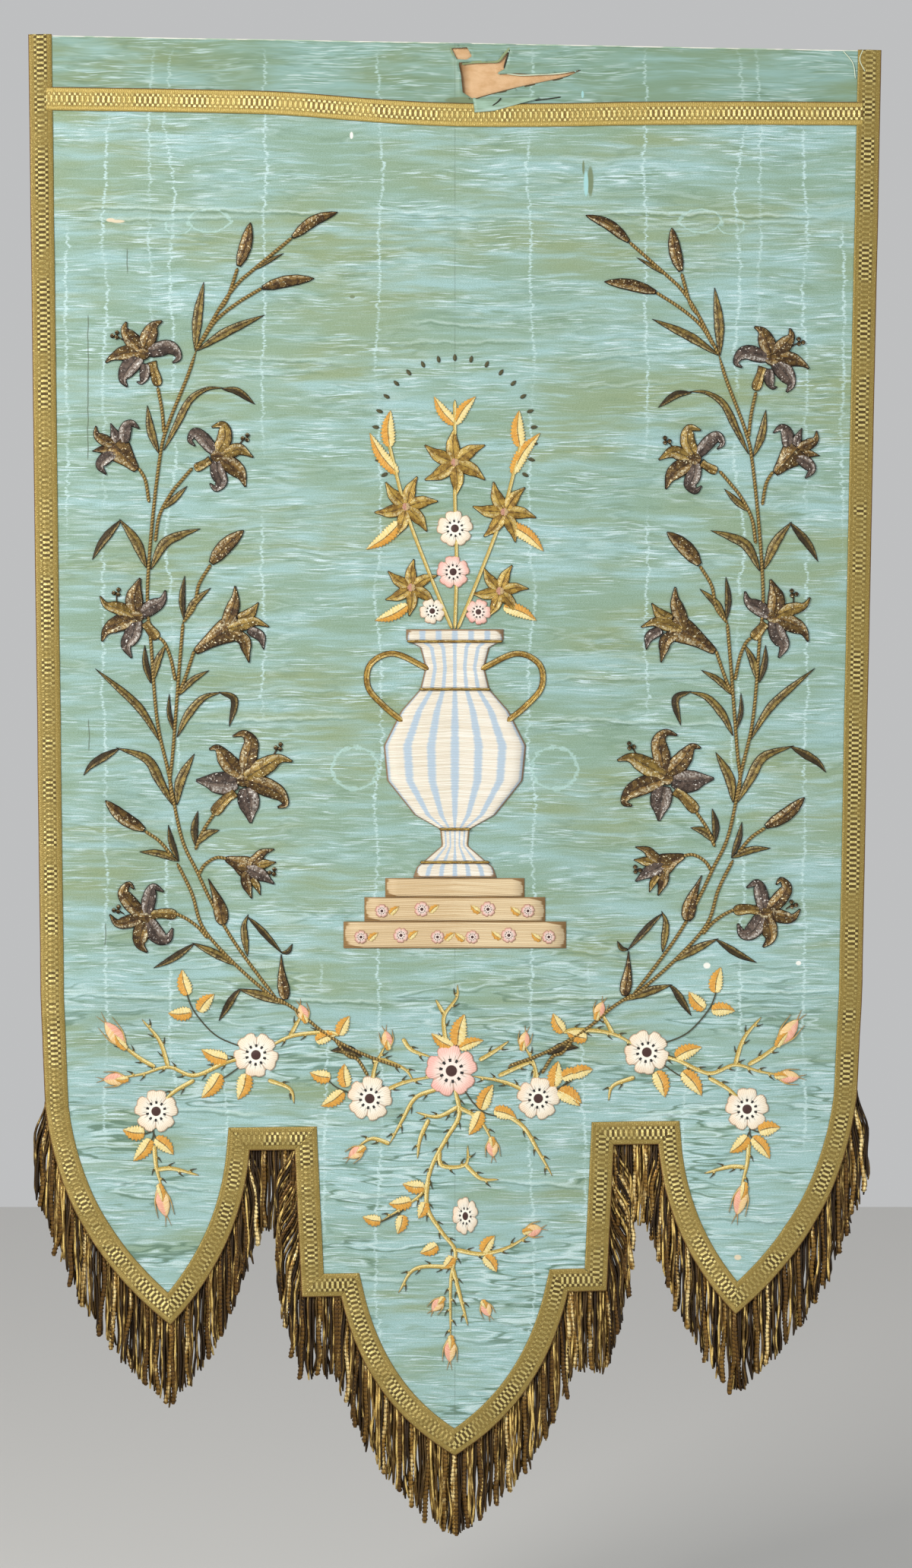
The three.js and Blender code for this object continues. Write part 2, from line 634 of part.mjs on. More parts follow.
const VASE_TOP = -676;
const VASE_FOOT = -962 + GAP;
const VASE = [
  // half width, height
  [48, VASE_FOOT],
  [44, -950],
  [15, -925],
  [17, -906],
  [46, -890],
  [78, -850],
  [82, -810],
  [62, -770],
  [40, -745],
  [34, -720],
  [40, -697],
  [56, -688],
  [56, VASE_TOP],
];
const HANDLE = [[30, -722], [70, -704], [97, -716], [100, -742], [82, -764], [60, -782]];
const handles = [1, -1].map((side) => ribbon(HANDLE.map(([x, z]) => [side * x, z]), 7, 0.8));
const vase = unite([cutter([...VASE, ...mirrored(VASE)]), ...handles]);
addPiece("vase", vase.intersect(flatRelief), materials.floss);

const BOUQUET_STEMS = [
  [[0, VASE_TOP + GAP], [2, -600], [0, -520], [0, -440], [0, -412]],
  [[-3, VASE_TOP + GAP], [-30, -610], [-56, -540], [-76, -462]],
  [[3, VASE_TOP + GAP], [30, -610], [56, -540], [76, -462]],
];
const BOUQUET_LILIES = [
  // centre x, centre z, radius, turn in degrees
  [0, -484, 40, 30],
  [-56, -535, 37, 10],
  [57, -541, 37, 50],
  [-50, -628, 33, 25],
  [52, -632, 33, 5],
];
const BOUQUET_ROSES = [
  // x, z, radius
  [0, -560, 21],
  [-2, -610, 19],
  [-26, -655, 15],
  [27, -656, 15],
];
const BOUQUET_LEAVES = [
  // base x, base z, tip x, tip z, width
  [-66, -496, -98, -450, 11],
  [66, -498, 98, -450, 11],
  [-75, -466, -74, -424, 13],
  [75, -466, 74, -424, 13],
  [0, -440, -24, -408, 11],
  [0, -440, 24, -408, 11],
  [-62, -552, -102, -584, 12],
  [64, -556, 102, -586, 12],
  [-54, -648, -92, -666, 12],
  [56, -650, 94, -666, 12],
];
const LILY_PETALS = 6;
const openLily = ([x, z, radius, turn]) => {
  const tips = Array.from({ length: LILY_PETALS }, (_, k) => {
    const angle = THREE.MathUtils.degToRad(turn + (360 * k) / LILY_PETALS);
    return [x + radius * Math.cos(angle), z + radius * Math.sin(angle)];
  });
  return star(x, z, tips);
};
const bouquet = applied(
  [
    ...BOUQUET_LILIES.map(openLily),
    ...BOUQUET_ROSES.map((row) => rosette(...row)),
    ...BOUQUET_LEAVES.map((row) => blade(...row)),
  ],
  BOUQUET_STEMS.map((line) => ribbon(line, STEM_WIDTH, 0.8)),
);
const aboveVase = cutter([[-WIDE, VASE_TOP + GAP], [WIDE, VASE_TOP + GAP], [WIDE, 0], [-WIDE, 0]]);
addPiece("bouquet", bouquet.intersect(aboveVase), materials.floss);

// Rose garland along the foot of the field
const SIDE_VINES = [
  [[-133, -1143], [-150, -1140], [-190, -1145], [-229, -1166]],
  [[-190, -1145], [-180, -1128], [-172, -1112]],
  [[-229, -1166], [-262, -1174], [-300, -1190], [-330, -1182], [-360, -1188], [-393, -1193]],
  [[-330, -1186], [-340, -1150], [-360, -1132], [-393, -1140]],
  [[-325, -1184], [-340, -1205], [-346, -1240], [-352, -1265], [-345, -1300], [-337, -1332]],
  [[-310, -1090], [-300, -1115], [-285, -1135], [-262, -1150], [-240, -1158]],
];
const SIDE_ROSES = [
  // x, z, radius, squash
  [-229, -1166, 26, 1],
  [-344, -1231, 25, 1],
  [-175, -1116, 9, 0.8],
  [-393, -1140, 10, 0.8],
  [-393, -1193, 10, 0.8],
  [-337, -1335, 13, 0.7],
];
const SIDE_LEAVES = [
  // base x, base z, tip x, tip z, width
  [-307, -1097, -314, -1068, 14],
  [-302, -1113, -328, -1118, 13],
  [-276, -1180, -291, -1214, 14],
  [-238, -1186, -252, -1216, 14],
  [-351, -1262, -382, -1253, 14],
  [-350, -1264, -325, -1280, 14],
  [-150, -1140, -124, -1122, 12],
];
const CENTRE_VINES = [
  [[-98, -1216], [-60, -1198], [-20, -1190]],
  [[96, -1216], [60, -1198], [20, -1190]],
  [[0, -1200], [5, -1235], [-10, -1262], [-25, -1290], [-35, -1320], [-20, -1345], [12, -1351]],
  [[-25, -1334], [-15, -1370], [0, -1390], [-4, -1430], [-5, -1500]],
  [[0, -1390], [30, -1395], [60, -1388], [88, -1372]],
  [[-2, -1410], [20, -1435], [34, -1452]],
  [[-4, -1425], [-12, -1440], [-20, -1450]],
  [[-12, -1205], [-45, -1215], [-68, -1254], [-108, -1276]],
  [[2, -1225], [28, -1240], [43, -1270]],
  [[-98, -1216], [-92, -1180], [-77, -1150]],
  [[96, -1216], [92, -1180], [78, -1150]],
];
const CENTRE_ROSES = [
  // x, z, radius, squash
  [-3, -1184, 31, 1],
  [-98, -1216, 26, 1],
  [96, -1216, 25, 1],
  [12, -1352, 22, 0.6],
  [-75, -1145, 9, 0.8],
  [77, -1149, 9, 0.8],
  [-112, -1277, 9, 0.8],
  [43, -1272, 9, 0.8],
  [88, -1368, 10, 0.8],
  [36, -1458, 9, 0.8],
  [-20, -1453, 9, 0.8],
  [-5, -1508, 10, 0.8],
];
const CENTRE_LEAVES = [
  // base x, base z, tip x, tip z, width
  [-2, -1158, 2, -1128, 15],
  [-122, -1206, -150, -1188, 14],
  [118, -1206, 146, -1190, 14],
  [26, -1240, 43, -1204, 13],
  [28, -1240, 70, -1238, 13],
  [-35, -1318, -68, -1316, 13],
  [-33, -1332, -66, -1348, 13],
  [30, -1395, 46, -1372, 12],
];

function roseGarland(vines, roses, leaves, place) {
  const roofs = [
    ...roses.map(([x, z, radius, squash]) => rosette(...place(x, z), radius, squash)),
    ...leaves.map(([bx, bz, tx, tz, width]) =>
      blade(...place(bx, bz), ...place(tx, tz), width),
    ),
  ];
  const bands = vines.map((line) => ribbon(line.map(([x, z]) => place(x, z)), 3.5, 0.8));
  return applied(roofs, bands);
}

const SIDE_SHIFT = 8;
const onRight = (x, z) => [-x - SIDE_SHIFT, z + 3];
const garlandLeft = roseGarland(SIDE_VINES, SIDE_ROSES, SIDE_LEAVES, asLeft);
const garlandRight = roseGarland(SIDE_VINES, SIDE_ROSES, SIDE_LEAVES, onRight);
const garlandCentre = roseGarland(CENTRE_VINES, CENTRE_ROSES, CENTRE_LEAVES, asLeft);
addPiece("rose_garland_left", garlandLeft, materials.floss);
addPiece("rose_garland_right", garlandRight, materials.floss);
addPiece("rose_garland_centre", garlandCentre, materials.floss);

export default banner;
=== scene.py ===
import functools

import bmesh
import bpy
import numpy as np
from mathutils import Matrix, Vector


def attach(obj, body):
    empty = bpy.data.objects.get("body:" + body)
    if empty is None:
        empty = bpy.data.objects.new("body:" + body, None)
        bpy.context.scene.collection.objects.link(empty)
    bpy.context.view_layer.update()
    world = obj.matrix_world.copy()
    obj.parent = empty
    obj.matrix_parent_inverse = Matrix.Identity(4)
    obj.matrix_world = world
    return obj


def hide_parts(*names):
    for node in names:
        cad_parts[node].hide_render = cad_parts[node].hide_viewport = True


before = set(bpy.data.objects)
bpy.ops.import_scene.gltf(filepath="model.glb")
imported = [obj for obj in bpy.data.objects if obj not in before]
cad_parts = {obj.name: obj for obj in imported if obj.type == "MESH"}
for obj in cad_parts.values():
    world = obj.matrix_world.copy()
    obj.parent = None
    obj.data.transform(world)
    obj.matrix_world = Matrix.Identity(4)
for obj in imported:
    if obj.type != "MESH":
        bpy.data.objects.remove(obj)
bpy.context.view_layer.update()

# The banner as it hangs for its picture, seen straight on from 4 m away.
# The view takes in 1.806 m of height, a little more than the banner.
view_height, view_distance, film = 1.806, 4.0, 36.0
view_middle = (0.0013, -0.854)
camera_data = bpy.data.cameras.new("camera")
camera_data.sensor_width = film
camera_data.lens = view_distance * film / view_height
camera = bpy.data.objects.new("camera", camera_data)
camera.location = (view_middle[0], -view_distance, view_middle[1])
camera.rotation_euler = (np.pi / 2, 0, 0)
bpy.context.scene.collection.objects.link(camera)
bpy.context.scene.camera = camera

# Silk field: one width of watered silk over a soft interlining, cut with three dags at the foot.
# It hangs free from the heading, so its weight draws soft flutes in it and old folds cross it.
# Sizes are in millimetres here, and go into the meshes in metres.
half_top, waist, fringe_start = 491.0, (472.5, -1090.0), (467.0, -1221.0)
lobe_tip, lobe_outer_pull, lobe_inner_pull = (324.6, -1470.0), (448.0, -1370.0), (244.0, -1386.0)
notch_outer, notch_inner, notch_height = 235.0, 184.0, -1273.0
panel_outer, panel_inner, panel_foot = 176.0, 131.0, -1442.0
tip_pull, tip_height = (102.5, -1568.0), -1629.0
cloth_thickness, edge_inset, row_pitch, tip_gap = 2.4, 1.6, 4.0, 4
# Out of square: how far each side draws in by the waist, how far the right edge hangs below the middle
# at the top, and how far it has risen again by the foot; the left edge does the opposite
side_draw, tilt, tilt_lost = 4.0, -9, 18.8
# Flutes: wave length, depth, place of a crest. Old folds: height, depth, reach
flutes, flutes_full = [(430, 3.4, -40), (265, 1.8, 95)], 1200
old_folds = [(-205, 2.2, 70), (-782, -2.4, 90), (-1100, 2.8, 70), (-1230, -2.2, 55), (-1330, 2.6, 60)]
fold_bell = 0.45
# Puckers and the broad swell under them: depth, wave lengths across and up, seed
puckers, swell = [(0.8, 62, 11, 5), (0.45, 34, 6.5, 6)], (1.1, 150, 120, 7)
calm_share, calm_to, calm_fades = 0.35, 1000, 250
# How far each dag's free foot curls forward, the drop that this takes, and how late it sets in
curls, curl_drop, curl_power = {"left": 9.0, "centre": -4.0, "right": 6.0}, 200, 1.5
# The middle of the braid that crosses under the heading
cross_line = np.array([
    (-491, -64.5), (-330, -67), (-200, -69.5), (-90, -79), (0, -84), (110, -84), (200, -82), (320, -81.5),
    (491, -82.5)], float)
# Creases pressed into the silk: start, end, how far it stands forward, half width
creases = [
    ((-455, -196), (-150, -189), 1.5, 5), ((150, -192), (440, -200), 1.4, 5),
    ((-60, -322), (60, -332), 1.6, 5), ((-80, -350), (90, -343), 1.3, 4),
    ((-250, -362), (-110, -370), 1.5, 5), ((-270, -388), (-120, -380), -1.3, 5),
    ((90, -370), (300, -355), 1.3, 5), ((110, -398), (260, -392), -1.1, 5),
    ((-130, -492), (-20, -494), 1.0, 4), ((90, -560), (250, -552), 1.0, 5),
    ((-440, -520), (-300, -512), 1.0, 5), ((95, -735), (270, -728), 1.3, 5),
    ((-300, -783), (-90, -780), 1.6, 6), ((90, -781), (330, -786), 1.7, 6),
    ((-250, -905), (-110, -898), 1.2, 5), ((120, -860), (300, -872), 1.2, 5),
    ((-460, -1098), (-150, -1106), 1.7, 6), ((130, -1100), (455, -1092), 1.6, 6),
    ((-310, -1222), (-215, -1240), -1.6, 4), ((225, -1232), (330, -1220), -1.5, 4),
    ((-425, -1308), (-340, -1327), -1.4, 4), ((-340, -1327), (-255, -1320), -1.2, 4),
    ((280, -1350), (340, -1367), -1.4, 4), ((340, -1367), (395, -1360), -1.3, 4),
    ((-150, -1330), (-60, -1325), 1.3, 5), ((40, -1310), (165, -1322), 1.3, 5),
    ((-140, -1422), (-30, -1428), 1.2, 5), ((30, -1482), (100, -1470), 1.0, 5),
    ((-370, -1395), (-290, -1388), 1.2, 4), ((285, -1410), (360, -1402), 1.2, 4),
]
crease_ends = (0.04, 0.96)


def hang(x, z):
    """Where a point of the flat cut hangs: the foot narrows a little and the whole leans out of square."""
    across, down = x / half_top, -z
    inwards = side_draw * down / -waist[1] * across**2
    return x - inwards, z + across * (tilt + tilt_lost * down / -lobe_tip[1])


def soft_noise(x, z, seed, cells=64):
    """Random heights from -1 to 1 on whole-number points, joined by smooth steps."""
    table = np.random.default_rng(seed).uniform(-1, 1, (cells, cells))
    i, j = np.floor(x).astype(int), np.floor(z).astype(int)
    u, v = x - i, z - j
    u, v = u * u * (3 - 2 * u), v * v * (3 - 2 * v)
    left, right, below, above = i % cells, (i + 1) % cells, j % cells, (j + 1) % cells
    low = table[left, below] * (1 - u) + table[right, below] * u
    high = table[left, above] * (1 - u) + table[right, above] * u
    return low * (1 - v) + high * v


def beside(x, z, start, end):
    """Distance from a segment, and how far along it from 0 to 1."""
    ax, az, bx, bz = *start, *end
    squared = (bx - ax) ** 2 + (bz - az) ** 2
    along = np.clip(((x - ax) * (bx - ax) + (z - az) * (bz - az)) / squared, 0, 1)
    return np.hypot(x - ax - along * (bx - ax), z - az - along * (bz - az)), along


def forward(x, z):
    """How far the cloth stands in front of its top edge's plane: cosine flutes that grow downwards,
    bell-shaped folds and creases, curled dags, and puckers that lie level like the weft."""
    grow = np.clip(-z / flutes_full, 0, 1)
    grow = grow * grow * (3 - 2 * grow)
    out = sum(depth * grow * np.cos(2 * np.pi * (x - crest) / wave) for wave, depth, crest in flutes)
    out = out + sum(depth * np.exp(-(((z - level) / (fold_bell * reach)) ** 2))
                    for level, depth, reach in old_folds)
    for start, end, depth, width in creases:
        gap, along = beside(x, z, start, end)
        fade = np.sin(np.pi * np.clip(along, *crease_ends)) ** 0.5
        out = out + depth * fade * np.exp(-((gap / width) ** 2))
    crumpled = calm_share + (1 - calm_share) * np.clip((-z - calm_to) / calm_fades, 0, 1)
    for depth, wide, tall, seed in puckers:
        out = out + crumpled * depth * soft_noise(x / wide, z / tall, seed)
    depth, wide, tall, seed = swell
    out = out + depth * soft_noise(x / wide, z / tall, seed)
    free = np.clip((notch_height - z) / curl_drop, 0, None) ** curl_power
    lobe = np.where(x < 0, curls["left"], curls["right"])
    return out + np.where(np.abs(x) > (notch_outer + notch_inner) / 2, lobe, curls["centre"]) * free


def on_cloth(x, z, above):
    """Points at a depth in front of the middle of the hanging cloth."""
    return np.stack([x, -forward(x, z) - above, z], -1)


def bow(start, pull, end, count=60):
    """A curve from start to end pulled towards a third point: the quadratic that a bent lath draws."""
    t = np.linspace(0, 1, count)[:, None]
    return (1 - t) ** 2 * np.array(start) + 2 * t * (1 - t) * np.array(pull) + t**2 * np.array(end)


lobe_outer_edge = bow(fringe_start, lobe_outer_pull, lobe_tip)
lobe_inner_edge = bow(lobe_tip, lobe_inner_pull, (notch_outer, notch_height))
tip_edge = bow((panel_inner, panel_foot), tip_pull, (0, tip_height))


def at_height(curve, z):
    """The curve's x at a given height, read off between its points."""
    order = np.argsort(curve[:, 1])
    return np.interp(z, curve[order, 1], curve[order, 0])


def block(bounds_of_row, heights, counts):
    """A grid whose rows lie at the given heights, each split into groups of columns between bounds."""
    rows = []
    for z in heights:
        stops = bounds_of_row(z)
        parts = [np.linspace(a, b, n, endpoint=False) for a, b, n in zip(stops, stops[1:], counts)]
        rows.append(np.append(np.concatenate(parts), stops[-1]))
    across = np.array(rows)
    return across, np.repeat(np.array(heights)[:, None], across.shape[1], 1)


def grid_faces(rows, columns, start=0):
    """Quads between neighbouring points of a grid that is numbered row by row from the top."""
    i, j = np.meshgrid(np.arange(rows - 1), np.arange(columns - 1), indexing="ij")
    corner = (start + i * columns + j).ravel()
    return np.stack([corner, corner + columns, corner + columns + 1, corner + 1], -1)


def spaced(start, end, pitch):
    """Even stops from one end to the other, both kept, a pitch apart or a little less."""
    return np.linspace(start, end, int(abs(end - start) / pitch) + 2)


def join_meshes(mesh, points, faces):
    """Fills a mesh from points in millimetres and quads, smooth all over."""
    mesh.vertices.add(len(points))
    mesh.vertices.foreach_set("co", (np.asarray(points, float) / 1000).ravel())
    sizes = np.concatenate([np.full(len(f), f.shape[1]) for f in faces])
    loops = np.concatenate([f.ravel() for f in faces])
    mesh.loops.add(len(loops))
    mesh.loops.foreach_set("vertex_index", loops)
    mesh.polygons.add(len(sizes))
    mesh.polygons.foreach_set("loop_start", np.concatenate([[0], np.cumsum(sizes)[:-1]]))
    mesh.polygons.foreach_set("use_smooth", np.ones(len(sizes), bool))
    mesh.update()


def tidy_mesh(mesh, gap=1e-6):
    """Merges points that fall together, drops faces without area, and turns all faces outwards."""
    work = bmesh.new()
    work.from_mesh(mesh)
    bmesh.ops.remove_doubles(work, verts=work.verts, dist=gap)
    bmesh.ops.dissolve_degenerate(work, edges=work.edges, dist=gap)
    bmesh.ops.recalc_face_normals(work, faces=work.faces)
    work.to_mesh(mesh)
    work.free()


def place(name, mesh, nodes=(), finishes=()):
    """Puts a finished mesh in the scene on the banner's one body, in place of its plain solids."""
    made = bpy.data.objects.new(name, mesh)
    bpy.context.scene.collection.objects.link(made)
    for finish in finishes:
        mesh.materials.append(finish)
    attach(made, "root")
    if nodes:
        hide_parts(*nodes)
    return made


class Socket:
    """One output of a node in a material. Operators on it add Math nodes, and add() any other node."""

    def __init__(self, tree, output=None):
        self.tree, self.output = tree, output

    def add(self, kind, settings, sockets, output=0):
        """A node of that kind: its settings first, then values or links by socket name or number."""
        node = self.tree.nodes.new("ShaderNode" + kind)
        for name, value in settings.items():
            setattr(node, name, value)
        for name, value in sockets.items():
            if isinstance(value, Socket):
                self.tree.links.new(value.output, node.inputs[name])
            else:
                node.inputs[name].default_value = value
        return Socket(self.tree, node.outputs[output] if node.outputs else None)

    def math(self, operation, *others):
        return self.add("Math", {"operation": operation}, dict(enumerate([self, *others])))

    def __add__(self, other):
        return self.math("ADD", other)

    def __radd__(self, other):
        return self.math("ADD", other)

    def __mul__(self, other):
        return self.math("MULTIPLY", other)

    def __rmul__(self, other):
        return self.math("MULTIPLY", other)

    def __sub__(self, other):
        return self.math("SUBTRACT", other)

    def __rsub__(self, other):
        return self.add("Math", {"operation": "SUBTRACT"}, {0: other, 1: self})

    def __truediv__(self, other):
        return self.math("DIVIDE", other)

    def step(self, low, high, start=0.0, end=1.0):
        """A smooth step from start to end as this value goes from low to high."""
        settings = {"interpolation_type": "SMOOTHSTEP", "clamp": False}
        return self.add("MapRange", settings, {0: self, 1: low, 2: high, 3: start, 4: end})

    def mixed(self, first, second):
        """A colour between two, by this value as the share of the second."""
        return self.add("Mix", {"data_type": "RGBA"}, {0: self, 6: first, 7: second}, 2)

    def tint(self, first, second):
        """A colour between two that are given by their codes."""
        return self.mixed(colour(first), colour(second))

    def over(self, base, code):
        """A colour laid over another one, as thick as this value."""
        return self.mixed(base, colour(code))

    def noise(self, vector, scale=1.0, detail=2.0, rough=0.5):
        sockets = {"Vector": vector, "Scale": scale, "Detail": detail, "Roughness": rough}
        return self.add("TexNoise", {}, sockets)

    def point(self, x, y, z=0.0):
        return self.add("CombineXYZ", {}, {0: x, 1: y, 2: z})

    def part(self, axis):
        return self.add("SeparateXYZ", {}, {0: self}, axis)

    def bump(self, strength, distance):
        """The normal of a surface that stands out by this value times a distance in metres."""
        return self.add("Bump", {}, {"Strength": strength, "Distance": distance, "Height": self})


def colour(code):
    """Linear light from a colour written as six hexadecimal digits."""
    parts = np.array([int(code[i:i + 2], 16) for i in (0, 2, 4)]) / 255
    return (*np.where(parts < 0.04045, parts / 12.92, ((parts + 0.055) / 1.055) ** 2.4), 1.0)


def new_finish(name):
    """An empty material, and the socket from which its nodes are added."""
    finish = bpy.data.materials.new(name)
    finish.use_nodes = True
    finish.node_tree.nodes.clear()
    return finish, Socket(finish.node_tree)


def close_finish(start, sockets):
    """Ends a material in one shader."""
    shader = start.add("BsdfPrincipled", {}, sockets)
    start.add("OutputMaterial", {}, {"Surface": shader})


def joined(operation, values):
    """Several values as one: the first and second taken together, then that and the third, and so on."""
    return functools.reduce(lambda so_far, value: so_far.math(operation, value), values)


class Shade:
    """Where a material looks: its place on the banner in millimetres."""

    def __init__(self, start):
        self.start = start
        self.spot = start.add("TexCoord", {}, {}, 3)
        self.x = self.spot.part(0) * 1000
        self.z = self.spot.part(2) * 1000
        self.aside = self.x.math("ABSOLUTE")

    def weft(self, along, across, seed, side=None):
        """A place for noise, drawn out along the weft; the same on both sides of the middle."""
        return self.start.point((side or self.aside) / along, self.z / across, float(seed))

    def grain(self, along, across, seed, detail=2.0, rough=0.5):
        return self.start.noise(self.weft(along, across, seed), 1.0, detail, rough)

    def patch(self, x, z, wide, tall, soft=0.4):
        """1 inside an ellipse and 0 outside."""
        from_x, from_z = (self.x - x) / wide, (self.z - z) / tall
        return (from_x * from_x + from_z * from_z).step(1 + soft, 1 - soft)


# Upright water lines: distance from the middle, how far they stray, seed, depth of their top and foot
water_lines = [
    (88, 26, 1.0, 0, 1640), (220, 18, 2.0, 0, 800), (326, 34, 3.0, 0, 1250), (402, 20, 4.0, 60, 1300),
    (352, 30, 8.0, 0, 420), (150, 30, 5.0, 1050, 1400), (262, 24, 6.0, 1150, 1500),
    (446, 20, 7.0, 200, 620),
]
# Rims of dried drops: middle, half width, half height. Slits worn in the left half: x, top, foot
drop_rims = [(283, -206, 24, 13), (115, -836, 26, 24), (318, -212, 15, 9)]
worn_slits = [(-377, -238, -265), (-422, -315, -480), (-421, -780, -815), (-402, -1015, -1040)]
# Painted shade round loose flaps with one small dark stain, a painted highlight on a small loose flap with
# one pale patch, white flecks, and stray threads: tint, then middle, half width and half height
painted_light_and_stains = [
    ("6C7A58", [(156, -160, 3.5, 17), (148, -144, 1.4, 8), (6, -67, 17, 4), (-118, -293, 3, 2)]),
    ("9CCBCC", [(151, -163, 2.6, 14), (147, -60, 1.5, 4)]),
    ("EFEDE4", [(-119, -107, 1.9, 4), (290, -1063, 4, 3.4), (395, -1060, 3, 2.5)]),
    ("DCCBAE", [(-388, -206.4, 8, 1.8), (-396, -205, 5, 2.2), (325, -1398, 4, 3)]),
]
# Creases drawn in the colour as a painted highlight over a painted shade: x and height of both ends,
# strength
shown_creases = [
    (-455, -190, -120, -199, 0.9), (-455, -206, -230, -203, 0.7), (-130, -196, 140, -205, 0.5),
    (140, -196, 440, -203, 0.9), (200, -212, 420, -208, 0.5), (-70, -322, 70, -330, 0.8),
    (-90, -349, 120, -343, 0.6), (-300, -362, -110, -371, 0.7), (95, -368, 310, -352, 0.6),
    (-300, -386, -130, -379, 0.5), (110, -398, 270, -392, 0.5), (-150, -492, -90, -494, 0.6),
    (-450, -520, -300, -512, 0.5), (90, -735, 330, -728, 0.6), (-330, -783, -95, -779, 0.8),
    (85, -781, 360, -787, 0.8), (-450, -1098, -60, -1107, 1.0), (60, -1104, 460, -1091, 1.0),
    (-400, -1222, -200, -1240, 0.9), (200, -1238, 400, -1218, 0.8), (-180, -1332, -30, -1325, 0.8),
    (20, -1308, 175, -1322, 0.9), (-425, -1306, -250, -1326, 0.8), (255, -1352, 410, -1360, 0.8),
    (-150, -1421, -20, -1428, 0.6), (20, -1470, 110, -1482, 0.6),
]


def water_line(at, from_middle, sway, seed, top, foot):
    """An upright line that strays in long bends and short shakes, and fades in and out at its ends."""
    drift = at.start.point(seed * 7.3, at.z / 130)
    shake = at.start.point(seed * 3.1, at.z / 9)
    wander = (at.start.noise(drift, 1, 1) - 0.5) * sway + (at.start.noise(shake, 1, 3, 0.75) - 0.5) * 15
    gap = (at.aside - from_middle - wander).math("ABSOLUTE") + (at.grain(11, 1.6, seed) - 0.38) * 11
    reach = (at.z * -1).step(top, top + 30) * (at.z * -1).step(foot, foot - 60)
    return gap.step(3.2, 1.0) * at.grain(40, 120, seed + 20, 1).step(0.30, 0.52) * reach


def drop_rim(at, x, z, across, up):
    """A ragged line round an ellipse, on both sides of the middle."""
    from_x, from_z = (at.aside - x) / across, (at.z - z) / up
    round_it = (from_x * from_x + from_z * from_z).math("SQRT") + (at.grain(9, 5, x) - 0.5) * 0.5
    return (round_it - 1).math("ABSOLUTE").step(0.11, 0.04)


def crease_mark(at, wobble, ax, az, bx, bz, strength):
    """A crease between two ends: above 0 along its painted highlight, and below 0 along its painted shade.
    """
    slope = (bz - az) / (bx - ax)
    off = at.z - (at.x * slope + (az - ax * slope)) - wobble
    window = at.x.step(ax, ax + 50) * at.x.step(bx, bx - 50) * strength
    return (off.step(0.0, 1.4) * off.step(4.8, 1.6) - off.step(0.0, -1.2) * off.step(-3.6, -1.4)) * window


def worn_slit(at, x, top, foot):
    """A fine upright slit that strays a little."""
    slit = (at.x - x - (at.grain(30, 22, x) - 0.5) * 3).math("ABSOLUTE").step(1.0, 0.35)
    return slit * at.z.step(top + 3, top - 3) * at.z.step(foot - 3, foot + 3)


